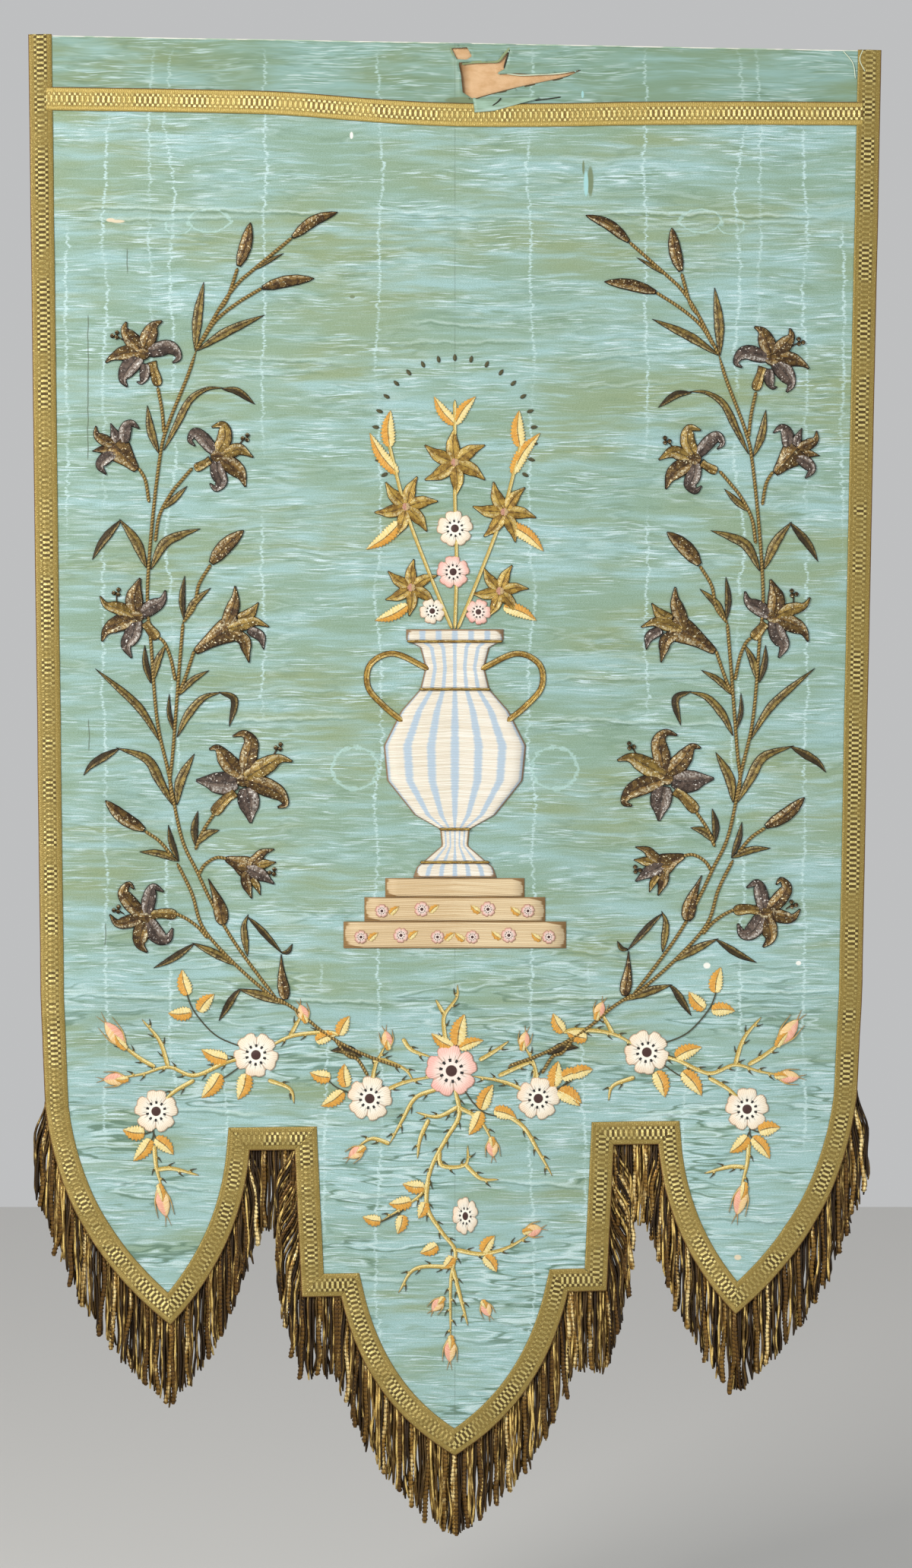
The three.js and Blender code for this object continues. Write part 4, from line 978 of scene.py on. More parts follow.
def head_strip(edge):
    """Rings of the flat strip behind a run of hem: its two edges in front, then behind."""
    line, gone = along_line(edge, 6)
    ahead = directions(line)
    inwards = np.stack([-ahead[:, 1], ahead[:, 0]], -1)
    inwards = inwards * np.sign(inwards[:, 1].mean())
    outer, inner = (line + inwards * reach for reach in strip_edges)
    front, back = strip_depths
    corners = ((outer, front), (inner, front), (inner, back), (outer, back))
    rings = np.stack([on_cloth(*spot.T, depth) for spot, depth in corners], 1)
    across = np.broadcast_to([0, 1, 1, 0], rings.shape[:2])
    return rings, np.stack([across, np.broadcast_to(gone[:, None], across.shape)], -1), 2


strip_finish, start = new_finish("woven_strip")
at = Shade(start)
ribs = (at.x * 2.2 + at.z * 2.2).math("SINE") * 0.5 + 0.5
close_finish(start, {"Base Color": ribs.tint("6E5528", "A88C48"), "Metallic": 0.4, "Roughness": 0.5})
plain_purl = bullion("gilt_purl", "2A1C0B", "7E5E28", "E8C878", 4.2, 0.2)
twisted_purl = bullion("gilt_twisted_purl", "5E4218", "A88038", "FBE2A0", 1.25, 0.55)
hems = (lobe_outer_edge, lobe_inner_edge[::-1], *right_legs[2:5], tip_edge)
outer_hem, inner_hem, notch_hem, side_hem, shoulder_hem, tip_hem = (hung(hem) for hem in hems)
left_hems = [hung(hem * (-1, 1)) for hem in hems]
left_outer, left_inner, left_notch, left_side, left_shoulder, left_tip = left_hems
# Each length of fringe: its runs of hem, the side its strands are pushed to, and how hard
runs = {
    "fringe_lobe_right": [(outer_hem, 1, 1), (inner_hem, -1, 0.95)],
    "fringe_notch_right": [(notch_hem, 1, 1), (side_hem, 1, 0.75), (shoulder_hem, 1, 1)],
    "fringe_centre": [(tip_hem, 1, 1), (left_tip, -1, 1)],
    "fringe_notch_left": [(left_notch, -1, 1), (left_side, -1, 0.75), (left_shoulder, -1, 1)],
    "fringe_lobe_left": [(left_outer, -1, 1), (left_inner, 1, 0.95)],
}
for name, edges in runs.items():
    parts = [part for edge, outward, lean in edges for part in fringe_run(edge, outward, lean)]
    parts += [head_strip(edge) for edge, _, _ in edges]
    finishes = [plain_purl, twisted_purl, strip_finish]
    gather(name.replace("fringe", "bullion"), parts, [name], finishes)


# Lily sprays: padded petals and leaves worked in couched gold and brown thread with a dark outline,
# on stems of twisted gold cord. They are sewn to the silk, and the right one mirrors the left.
relief_back, petal_rise, leaf_rise, cord_rise = 1.5, 2.6, 1.6, 1.8
across_shares = np.array([-1, -0.82, -0.45, -0.08, 0.08, 0.45, 0.82, 1])
petal_shape = ([0, 0.15, 0.38, 0.58, 0.76, 0.9, 1], [0.62, 0.92, 1, 0.86, 0.5, 0.27, 0.12])
trumpet_shape = ([0, 0.08, 0.35, 0.7, 1], [0.2, 0.3, 0.5, 0.85, 1])
drop_shape = ([0, 0.1, 0.28, 0.5, 0.75, 1], [0.45, 0.9, 1, 0.72, 0.34, 0.06])
leaf_shape = ([0, 0.15, 0.4, 0.65, 0.88, 1], [0.12, 0.6, 1, 0.85, 0.38, 0.03])
bud_shape = ([0, 0.2, 0.45, 0.7, 0.9, 1], [0.35, 0.85, 1, 0.85, 0.45, 0.08])
cord_shape = ([0, 0.02, 0.98, 1], [0.3, 1, 1, 0.3])
calyx_shape = ([0, 0.25, 0.75, 0.92, 1], [0.9, 0.75, 0.95, 0.8, 0.3])


def rounded(points, step=2.0):
    """A smooth line through a few points, each span a cubic through its ends (Catmull-Rom)."""
    points = np.asarray(points, float)
    padded = np.concatenate([[2 * points[0] - points[1]], points, [2 * points[-1] - points[-2]]])
    t = np.linspace(0, 1, 8, endpoint=False)[:, None]
    spans = []
    for a, b, c, d in zip(padded, padded[1:], padded[2:], padded[3:]):
        bend, twist = 2 * a - 5 * b + 4 * c - d, 3 * b - a - 3 * c + d
        spans.append(0.5 * (2 * b + (c - a) * t + bend * t**2 + twist * t**3))
    return along_line(np.concatenate([*spans, points[-1:]]), step)[0]


def pad(points, width, shape, rise, number, lift=0.0, step=2.0, crease=0.0, stitch=0.0):
    """A stuffed form along a line: its rings run over the top from edge to edge and back below.
    Marks: u across from 0 to 1, v along in millimetres, millimetres from the rim, and a chance tone."""
    line = rounded(points, step)
    share = np.linspace(0, 1, len(line))
    gone = share * np.hypot(*np.diff(line, axis=0).T).sum()
    half = np.interp(share, *shape) * width / 2
    half = half * (1 + stitch * np.where(np.arange(len(line)) % 2, 1, -1))
    ahead = directions(line)
    side = np.stack([-ahead[:, 1], ahead[:, 0]], -1)
    flat = line[:, None] + side[:, None] * (half[:, None] * across_shares)[..., None]
    dome = np.sqrt(1 - across_shares**2 * 0.97) - crease * np.exp(-((across_shares / 0.2) ** 2))
    above = relief_back + lift + 0.5 + rise * dome * (half[:, None] / (width / 2)) ** 0.6
    front = on_cloth(flat[..., 0], flat[..., 1], above)
    back = on_cloth(flat[:, [-1, 0], 0], flat[:, [-1, 0], 1], relief_back)
    to_end = np.minimum(gone, gone[-1] - gone)
    rim = np.minimum((1 - np.abs(across_shares)) * half[:, None], to_end[:, None])
    tone = chance.uniform(0, 1)
    across, along = np.broadcast_arrays((across_shares + 1) / 2, gone[:, None])
    marks = np.stack([across, along, rim, np.full(rim.shape, tone)], -1)
    return np.concatenate([front, back], 1), np.concatenate([marks, marks[:, [-1, 0]]], 1), number


class Form:
    """What a stitched form's marks say: across, along, from the rim, and its chance tone."""

    def __init__(self, start):
        first, second = (start.add("UVMap", {"uv_map": name}, {}) for name in ("UVMap", "form"))
        self.across = first.part(0)
        self.along = first.part(1)
        self.rim = second.part(0)
        self.tone = second.part(1)


def couched(name, first, second, rim, glint, rim_width=1.0, shine=0.5, glints=0.66):
    """Couched metal thread in two halves: threads along the form, a painted highlight along one side and
    painted shade along the other, painted glints, and a dark outline.
    """
    finish, start = new_finish(name)
    at, form = Shade(start), Form(start)
    fine = start.noise(start.point(at.x / 2.3, at.z / 2.3, form.tone * 9), 1, 2, 0.55)
    broad = start.noise(start.point(at.x / 7, at.z / 7, form.tone * 30), 1, 2, 0.6)
    left = broad.step(0.38, 0.62).tint(first[0], first[1])
    right = broad.step(0.40, 0.64).tint(second[0], second[1])
    base = (form.across + (broad - 0.5) * 0.25).step(0.47, 0.55).mixed(left, right)
    threads = (form.rim * 5.2 + broad * 8 + form.along * 0.5).math("SINE") * 0.5 + 0.5
    base = (threads.step(0.5, 0.05) * 0.5).over(base, rim)
    # A painted highlight along one side of the form, painted shade along the other side, and painted
    # glints.
    lit = form.across.step(0.60, 0.78) * form.across.step(0.97, 0.84) * fine.step(0.42, 0.56)
    base = (lit * 0.4).over(base, glint)
    shade = form.across.step(0.30, 0.12) * fine.step(0.56, 0.42)
    base = (shade * 0.6).over(base, rim)
    base = fine.step(glints, glints + 0.06).over(base, glint)
    rib = (form.across - 0.5).math("ABSOLUTE").step(0.07, 0.02) * form.rim.step(0.5, 2.5)
    base = (rib * 0.6).over(base, rim)
    base = form.rim.step(rim_width, rim_width * 0.45).over(base, rim)
    height = threads * 0.5 + fine * 0.7 - rib * 0.6
    bump = height.bump(0.9, 0.0007)
    close_finish(start, {"Base Color": base, "Metallic": shine, "Roughness": 0.42, "Normal": bump})
    return finish


def cord(name, dark, light, glint, shine=0.4):
    """Twisted cord: slanting strands with a painted highlight dash on each, and painted shade along one
    side.
    """
    finish, start = new_finish(name)
    at, form = Shade(start), Form(start)
    fine = start.noise(start.point(at.x / 1.2, at.z / 1.2, form.tone * 9), 1, 2, 0.6)
    twist = (form.along * 1.7 + form.across * 4.2 + fine * 1.6).math("SINE") * 0.5 + 0.5
    base = (twist * 0.8 + fine * 0.3).step(0.2, 0.8).tint(dark, light)
    # A painted highlight dash on each strand, and painted shade along one side of the cord.
    bright = (twist * fine).step(0.50, 0.66) * form.across.step(0.15, 0.4) * form.across.step(0.95, 0.6)
    base = bright.over(base, glint)
    base = (form.across.step(0.12, 0.02) * 0.7).over(base, "2A1E10")
    bump = (twist + fine * 0.3).bump(0.9, 0.0009)
    close_finish(start, {"Base Color": base, "Metallic": shine, "Roughness": 0.45, "Normal": bump})
    return finish


lily_finishes = [
    couched("lily_brown_gold", ("7E6232", "4A3318"), ("9C7A40", "5E4220"), "20140A", "FFF4CC", 1.3, 0.5,
            0.63),
    couched("lily_gold", ("A88A44", "7A602A"), ("C0A054", "8C6E34"), "2A1C0C", "FFF6D0", 1.2, 0.5, 0.635),
    couched("lily_mauve", ("6E5C50", "463830"), ("847264", "5A4A40"), "1A120C", "F6F0E6", 1.4, 0.3, 0.635),
    couched("calyx_gold", ("9C7E40", "6E5426"), ("B6954E", "86682E"), "36260E", "FFF4C0", 1.1, 0.5, 0.64),
    cord("stem_cord", "685226", "A2864A", "EAD698"),
    couched("leaf_gold", ("A8904A", "7A6430"), ("7C6430", "503E1C"), "20180C", "F4E6AC", 1.1, 0.35, 0.70),
    couched("leaf_dark", ("4E4020", "3A2C14"), ("6A5628", "4A3A1A"), "1A140C", "C8B070", 0.9, 0.35, 0.74),
    couched("knob_dark", ("5A4420", "3E2C12"), ("6E542A", "46341A"), "1E150B", "FFEFC0", 0.6),
]
BROWN, GOLD, MAUVE, CALYX, CORD, LEAF, DARK, KNOB = range(8)

lily_stems = [
    [(-298, -355), (-308, -385), (-330, -440), (-339, -475), (-349, -560), (-354, -640), (-350, -690),
     (-343, -780),
     (-330, -840), (-315, -915), (-297, -955), (-278, -995), (-255, -1035), (-222, -1080), (-205, -1100)],
    [(-205, -1100), (-180, -1116), (-155, -1137), (-128, -1154), (-98, -1168), (-62, -1180)],
    [(-138, -1148), (-124, -1166), (-112, -1171), (-100, -1190)],
    [(-320, -945), (-303, -980), (-290, -1020), (-255, -1060), (-215, -1095), (-195, -1108)],
    [(-313, -668), (-319, -740), (-325, -820), (-328, -850), (-325, -875)],
    [(-187, -225), (-232, -262), (-250, -278), (-270, -305), (-298, -355)],
    [(-250, -260), (-262, -295), (-272, -309)],
    [(-222, -283), (-250, -300), (-275, -320), (-292, -345)],
    [(-281, -601), (-295, -625), (-300, -650), (-313, -668)],
    [(-357, -908), (-340, -920), (-325, -938)],
    [(-342, -397), (-337, -425), (-335, -450)],
    [(-364, -490), (-356, -505), (-352, -530)],
    [(-302, -490), (-315, -505), (-327, -520), (-340, -545), (-345, -575)],
    [(-341, -685), (-334, -692), (-327, -710), (-322, -735)],
    [(-300, -700), (-310, -730), (-318, -750)],
    [(-277, -888), (-290, -908), (-299, -930)],
    [(-262, -940), (-275, -939), (-288, -947), (-295, -958)],
    [(-322, -1003), (-308, -1010), (-295, -1020), (-285, -1032)],
]
# Leaves: width, finish, line from base to tip; a folded leaf is two, before its fold and after it
lily_leaves = [
    (12, LEAF, [(-299, -355), (-296, -315), (-289, -276)]),
    (11, LEAF, [(-297, -355), (-262, -333), (-219, -314)]),
    (10, LEAF, [(-341, -473), (-350, -447), (-354, -418)]),
    (9, LEAF, [(-335, -470), (-320, -440), (-305, -412), (-285, -399), (-264, -398)]),
    (9, DARK, [(-268, -399), (-250, -402), (-230, -417)]),
    (8, LEAF, [(-337, -538), (-324, -527), (-308, -511)]),
    (12, LEAF, [(-355, -605), (-367, -575), (-386, -549)]),
    (10, DARK, [(-384, -550), (-405, -575), (-417, -596)]),
    (12, LEAF, [(-350, -607), (-335, -578), (-315, -567), (-293, -560)]),
    (8, DARK, [(-312, -665), (-314, -640), (-311, -614)]),
    (9, LEAF, [(-312, -666), (-300, -645), (-281, -628)]),
    (8, DARK, [(-350, -738), (-356, -715), (-357, -694)]),
    (9, LEAF, [(-347, -735), (-342, -712), (-332, -692)]),
    (8, LEAF, [(-318, -752), (-303, -735), (-283, -723)]),
    (10, LEAF, [(-320, -800), (-308, -775), (-290, -755), (-268, -748)]),
    (9, DARK, [(-272, -748), (-254, -757), (-260, -788)]),
    (6, DARK, [(-323, -795), (-329, -773), (-329, -750)]),
    (10, LEAF, [(-340, -805), (-355, -778), (-372, -757), (-414, -721)]),
    (12, LEAF, [(-325, -878), (-340, -850), (-355, -825), (-390, -812)]),
    (10, DARK, [(-386, -813), (-415, -830), (-427, -844)]),
    (12, LEAF, [(-320, -878), (-316, -850), (-300, -819)]),
    (8, DARK, [(-318, -943), (-326, -922), (-330, -901)]),
    (9, LEAF, [(-318, -943), (-340, -934), (-363, -932)]),
    (9, DARK, [(-299, -925), (-300, -905), (-296, -885)]),
    (10, LEAF, [(-299, -925), (-287, -912), (-271, -907)]),
    (9, LEAF, [(-239, -1052), (-243, -1020), (-238, -1004)]),
    (8, DARK, [(-239, -1007), (-225, -1020), (-198, -1050)]),
    (10, LEAF, [(-253, -1063), (-275, -1050), (-303, -1037)]),
    (9, DARK, [(-300, -1038), (-325, -1055), (-347, -1066)]),
    (11, LEAF, [(-195, -1107), (-220, -1098), (-250, -1090)]),
    (9, DARK, [(-246, -1090), (-254, -1098), (-272, -1127)]),
    (5, LEAF, [(-230, -262), (-214, -252), (-197, -243)]),
    (6, DARK, [(-200, -1048), (-192, -1047), (-187, -1038)]),
    (11, DARK, [(-107, -1168), (-123, -1160), (-143, -1161)]),
]
lily_buds = [
    (13, bud_shape, [(-187, -225), (-162, -206), (-135, -196)]),
    (15, bud_shape, [(-249, -258), (-241, -235), (-235, -208)]),
    (14, bud_shape, [(-222, -283), (-192, -275), (-162, -272)]),
    (18, bud_shape, [(-281, -600), (-264, -580), (-243, -562)]),
    (16, bud_shape, [(-357, -907), (-382, -892), (-402, -873)]),
    (17, drop_shape, [(-267, -1016), (-272, -992), (-284, -963)]),
    (14, drop_shape, [(-195, -1102), (-199, -1075), (-200, -1050)]),
]
# Flowers: each part's finish, width and line from the middle out, back parts first; then the knob
lily_flowers = [
    ([(CALYX, 13, [(-349, -368), (-345, -382), (-341, -396)]),
      (MAUVE, 13, [(-356, -370), (-357, -384), (-361, -392), (-366, -391)]),
      (MAUVE, 21, [(-362, -360), (-376, -376), (-382, -388), (-377, -397)]),
      (BROWN, 18, [(-358, -356), (-380, -358), (-394, -363), (-402, -369)]),
      (MAUVE, 18, [(-356, -356), (-343, -354), (-330, -351), (-321, -356), (-318, -364), (-325, -369)]),
      (BROWN, 19, [(-360, -355), (-374, -340), (-380, -331), (-378, -322)]),
      (BROWN, 20, [(-358, -354), (-351, -336), (-346, -326), (-337, -321)])], (-391, -337), (-382, -343)),
    ([(MAUVE, 12, [(-388, -466), (-391, -452), (-396, -439)]),
      (BROWN, 9, [(-396, -470), (-405, -469), (-417, -471)]),
      (BROWN, 34, [(-366, -493), (-376, -481), (-387, -469), (-392, -463)]),
      (BROWN, 14, [(-390, -465), (-404, -458), (-412, -452), (-413, -442)]),
      (MAUVE, 15, [(-380, -462), (-379, -446), (-372, -439), (-363, -445)]),
      (MAUVE, 15, [(-390, -474), (-400, -478), (-408, -488), (-401, -498)])], None, None),
    ([(CALYX, 12, [(-281, -481), (-291, -487), (-300, -491)]),
      (MAUVE, 18, [(-274, -480), (-273, -494), (-269, -506), (-275, -514), (-282, -508)]),
      (BROWN, 20, [(-270, -480), (-256, -488), (-246, -498), (-241, -512)]),
      (GOLD, 16, [(-268, -476), (-257, -471), (-247, -469), (-232, -478)]),
      (MAUVE, 16, [(-277, -472), (-289, -457), (-299, -450), (-305, -458), (-299, -465)]),
      (GOLD, 18, [(-273, -473), (-265, -456), (-267, -441), (-280, -443)])], (-241, -455), (-250, -465)),
    ([(CALYX, 14, [(-357, -668), (-350, -677), (-342, -687)]),
      (MAUVE, 18, [(-364, -660), (-350, -651), (-337, -643), (-333, -631)]),
      (MAUVE, 20, [(-366, -664), (-371, -682), (-378, -695), (-372, -709)]),
      (BROWN, 20, [(-367, -663), (-384, -668), (-400, -677), (-406, -690)]),
      (GOLD, 16, [(-366, -661), (-386, -652), (-401, -648), (-408, -638)]),
      (BROWN, 21, [(-366, -659), (-369, -642), (-366, -628), (-362, -617)])], (-389, -633), (-389, -645)),
    ([(GOLD, 14, [(-250, -664), (-236, -658), (-226, -645)]),
      (MAUVE, 13, [(-238, -676), (-224, -684), (-220, -699)]),
      (BROWN, 34, [(-299, -702), (-280, -688), (-262, -677), (-248, -672)]),
      (BROWN, 17, [(-264, -674), (-256, -652), (-253, -640), (-253, -626)]),
      (GOLD, 16, [(-262, -676), (-244, -670), (-230, -667), (-214, -673)]),
      (BROWN, 15, [(-256, -680), (-243, -688), (-240, -700), (-237, -714)])], None, None),
    ([(CALYX, 15, [(-253, -863), (-264, -872), (-279, -889)]),
      (MAUVE, 27, [(-250, -851), (-268, -853), (-284, -851), (-298, -850)]),
      (MAUVE, 26, [(-240, -858), (-237, -876), (-236, -888), (-235, -899)]),
      (BROWN, 22, [(-244, -846), (-261, -829), (-273, -813), (-283, -814)]),
      (BROWN, 21, [(-242, -846), (-238, -824), (-235, -806), (-243, -796), (-256, -799)]),
      (BROWN, 22, [(-240, -850), (-218, -857), (-201, -866), (-195, -877), (-204, -881)]),
      (GOLD, 22, [(-242, -847), (-218, -833), (-202, -825), (-187, -828)])], (-203, -811), (-213, -827)),
    ([(GOLD, 12, [(-232, -948), (-220, -946), (-206, -944)]),
      (GOLD, 9, [(-234, -962), (-228, -971), (-224, -982)]),
      (BROWN, 28, [(-264, -940), (-250, -945), (-236, -952)]),
      (BROWN, 13, [(-240, -948), (-229, -941), (-221, -933), (-208, -929)]),
      (BROWN, 13, [(-241, -954), (-240, -968), (-234, -986)]),
      (MAUVE, 17, [(-242, -950), (-224, -958), (-208, -969)])], (-210, -955), (-218, -955)),
    ([(CALYX, 14, [(-350, -1005), (-336, -1003), (-320, -1005)]),
      (BROWN, 20, [(-356, -1010), (-361, -1026), (-362, -1039), (-354, -1048)]),
      (MAUVE, 20, [(-354, -1010), (-343, -1028), (-331, -1032), (-325, -1020)]),
      (BROWN, 16, [(-358, -1007), (-374, -1012), (-388, -1014), (-397, -1004)]),
      (BROWN, 18, [(-358, -1006), (-372, -993), (-381, -979), (-375, -969), (-369, -975)]),
      (MAUVE, 17, [(-355, -1005), (-352, -987), (-347, -973), (-335, -978)])], (-389, -998), (-380, -1004)),
]
# The right spray's lean: where it starts, over what height, and how far out its top goes
lean_foot, lean_height, lean_out = -1108, 880, 13
# The knob's lobes, from its middle
knob_lobes = ((-3.0, -1.2), (2.4, 2.6), (2.0, -2.8))


def as_drawn(points):
    return np.asarray(points, float)


def on_right(points):
    """The left spray's points mirrored, with the lean of the banner's right half."""
    points = np.asarray(points, float)
    lean = lean_out * ((points[:, 1] - lean_foot) / lean_height) ** 5
    level = hang(-points[:, 0], points[:, 1])[1] - hang(points[:, 0], points[:, 1])[1]
    return np.stack([-points[:, 0] + lean, points[:, 1] + level], -1)


def lily_spray(turned):
    """Every stem, leaf, bud and flower of one spray, from back to front."""
    made = [pad(turned(line), 3.8, cord_shape, cord_rise, CORD) for line in lily_stems]
    made += [pad(turned(line), width, leaf_shape, leaf_rise, finish, 0.3, crease=0.25)
             for width, finish, line in lily_leaves]
    made += [pad(turned(line), width, shape, petal_rise, BROWN, 0.5, crease=0.2)
             for width, shape, line in lily_buds]
    for parts, knob, thread_end in lily_flowers:
        for order, (finish, width, points) in enumerate(parts):
            shape = calyx_shape if finish == CALYX else trumpet_shape if width > 27 else petal_shape
            made.append(pad(turned(points), width, shape, petal_rise, finish, 0.3 + 0.12 * order, 1.6, 0.3))
        if knob:
            heart = np.mean([points[0] for finish, _, points in parts if finish != CALYX], axis=0)
            heart = turned([heart - (9, 0), heart + (9, 0)])
            made.append(pad(heart, 16, bud_shape, 2.2, BROWN, 1.1, 1.6, 0.3))
            knob = np.array(knob, float)
            made.append(pad(turned([knob, thread_end]), 1.6, cord_shape, 0.8, KNOB, 0.2))
            for lobe in knob + knob_lobes:
                lobe = turned([lobe - (2.6, 0), lobe + (2.6, 0)])
                made.append(pad(lobe, 5.6, bud_shape, 2.0, KNOB, 0.6, 1.2))
    return made


for name, turned in (("left", as_drawn), ("right", on_right)):
    gather("lily_spray_in_gold_" + name, lily_spray(turned), ["lily_spray_" + name],
           lily_finishes, False)

# Lily pot in the middle: a footed vase of white satin stitch with two handles, on a stepped plinth, and
# a bunch of lilies, roses and leaves in it. A ring of small lozenges stands round the tallest flower.
plinth_steps = [(128, -1043, -1012.3), (104, -1012, -984.3), (80, -984, -962.3)]
vase_profile = np.array([
    (48, -961.7), (44, -950), (15, -925), (17, -906), (46, -890), (78, -850), (82, -810),
    (62, -770), (40, -745), (34, -720), (40, -697), (56, -688), (56, -676)], float)
vase_handle = [(30, -722), (70, -704), (97, -716), (100, -742), (82, -764), (60, -782)]
pot_stems = [[(0, -676), (2, -600), (0, -520), (0, -440), (0, -412)],
             [(-3, -676), (-30, -610), (-56, -540), (-76, -462)],
             [(3, -676), (30, -610), (56, -540), (76, -462)]]
# Lilies: middle, reach and turn. Roses: middle and radius. Leaves: base, tip and width
pot_lilies = [(0, -484, 40, 30), (-56, -535, 37, 10), (57, -541, 37, 50), (-50, -628, 33, 25),
              (52, -632, 33, 5)]
pot_roses = [(0, -560, 21), (-2, -610, 19), (-26, -655, 15), (27, -656, 15)]
pot_leaves = [((-66, -497), (-98, -450), 13), ((66, -497), (98, -450), 13), ((-75, -466), (-74, -424), 14),
              ((75, -466), (74, -424), 14), ((0, -440), (-24, -408), 12), ((0, -440), (24, -408), 12),
              ((-62, -552), (-102, -584), 14), ((64, -556), (102, -586), 14),
              ((-54, -648), (-92, -666), 13),
              ((56, -650), (94, -666), 13)]
lozenge_ring, lozenge_middle, lozenge_arc, lozenges = 92.0, (0, -455), (-28, 208), 21


def satin(name, first, second, rim, rim_width=0.8, pitch=5.0, vein=None, flutes=0.0):
    """Satin stitch in floss: fine threads across the form, two tones of silk, a stitched outline."""
    finish, start = new_finish(name)
    at, form = Shade(start), Form(start)
    slant = (form.across - 0.5).math("ABSOLUTE") * 7 + form.along
    threads = (slant * pitch).math("SINE") * 0.5 + 0.5
    broad = start.noise(start.point(at.x / 6, at.z / 6, form.tone * 30), 1, 2, 0.6)
    run = start.noise(start.point(slant * 0.9, form.across * 1.5, form.tone * 9), 1, 2, 0.6)
    left = run.step(0.35, 0.65).tint(first[0], first[1])
    right = run.step(0.35, 0.65).tint(second[0], second[1])
    base = (form.across + (run - 0.5) * 0.35 + (broad - 0.5) * 0.2).step(0.42, 0.58).mixed(left, right)
    if flutes:
        folds = (form.across * (2 * np.pi * flutes)).math("COSINE") + (run - 0.5) * 0.9
        base = (folds.step(0.1, 0.8) * 0.85).over(base, "A9C4DA")
    base = (threads.step(0.35, 0.0) * 0.3).over(base, rim)
    rib = (form.across - 0.5).math("ABSOLUTE").step(0.05, 0.02) * form.rim.step(0.8, 2.2)
    if vein:
        base = (rib * 0.85).over(base, vein)
    base = (form.rim.step(rim_width, rim_width * 0.4) * 0.9).over(base, rim)
    bump = (threads * 0.6 + run * 0.6).bump(0.8, 0.0006)
    close_finish(start, {
        "Base Color": base, "Roughness": 0.5, "Specular IOR Level": 0.4, "Sheen Weight": 0.15,
        "Normal": bump})
    return finish


petals, bloom_size = 5, 25


def bloom_finish(name, pale, deep, heart, dots):
    """An open rose: petals of radiating stitches, fine dark rays on them, and a ring of dark knots."""
    finish, start = new_finish(name)
    form = Form(start)
    reach = (form.across * form.across + form.along * form.along).math("SQRT")
    angle = form.along.math("ARCTAN2", form.across) + form.tone * (2 * np.pi / petals)
    rays = start.noise(start.point(form.across * 0.5, form.along * 0.5, form.tone * 20), 1, 3, 0.7)
    stitch = ((angle * 60).math("SINE") * 0.5 + 0.5) * reach.step(6, 12)
    base = (reach.step(8, 24) * 0.7 + rays * 0.5).step(0.3, 1.0).tint(pale[0], pale[1])
    base = ((angle - 2.4).math("SINE").step(0.0, 1.0) * reach.step(14, 24) * 0.45).over(base, deep)
    base = (stitch.step(0.55, 0.95) * 0.25).over(base, "C8A88C")
    parting = (angle * 2.5).math("COSINE").math("ABSOLUTE").step(0.17, 0.05) * reach.step(8, 12)
    parting = parting.math("MAXIMUM", form.rim.step(1.7, 0.7))
    base = (parting * 0.62).over(base, "9A7252")
    ray = (angle * 15).math("COSINE").step(0.82, 0.97) * reach.step(9.5, 11) * reach.step(17, 13)
    base = (ray * 0.6).over(base, "5E6044")
    dot = (angle * 10).math("COSINE").step(0.05, 0.45) * (reach - 10.2).math("ABSOLUTE").step(2.0, 1.3)
    base = dot.over(base, dots)
    base = reach.step(6.0, 5.0).over(base, heart)
    bump = (rays * 0.5 + stitch * 0.5 + dot).bump(0.7, 0.0007)
    close_finish(start, {"Base Color": base, "Roughness": 0.55, "Sheen Weight": 0.15, "Normal": bump})
    return finish


def bloom(x, z, radius, squash, number, lift):
    """A padded flower: each petal's rim is notched in its middle and parted from the next by a valley.
    Marks: its own offsets as if it were 25 mm in radius, millimetres from the rim, and a chance tone."""
    turn = np.arange(petals * 12) * 2 * np.pi / (petals * 12)
    tone = chance.uniform(0, 1)
    beat = (turn + tone * 2 * np.pi / petals) * petals / (2 * np.pi) % 1
    valley = np.exp(-(np.abs(beat - 0.5) / 0.09) ** 2)
    notch = np.exp(-(np.minimum(beat, 1 - beat) / 0.07) ** 2)
    rim = 1 - 0.26 * valley - 0.07 * notch
    share = np.array([1, 1, 0.92, 0.72, 0.5, 0.33, 0.18, 0.03])
    rise = np.array([0, 0.5, 1.5, 2.2, 2.1, 1.6, 2.3, 2.6])
    shape = share[:, None] * (rim + (1 - rim) * (1 - share[:, None]) ** 1.5)
    dx, dz = shape * np.cos(turn), shape * np.sin(turn)
    up = rise[:, None] - 0.7 * valley * (share * (rise > 0.6))[:, None] + lift * (rise > 0)[:, None]
    rings = on_cloth(x + dx * radius * squash, z + dz * radius, relief_back + up)
    edge = np.repeat(((1 - share) * radius)[:, None], len(turn), 1)
    marks = np.stack([dx * bloom_size, dz * bloom_size, edge, np.full(dx.shape, tone)], -1)
    return rings, marks, number


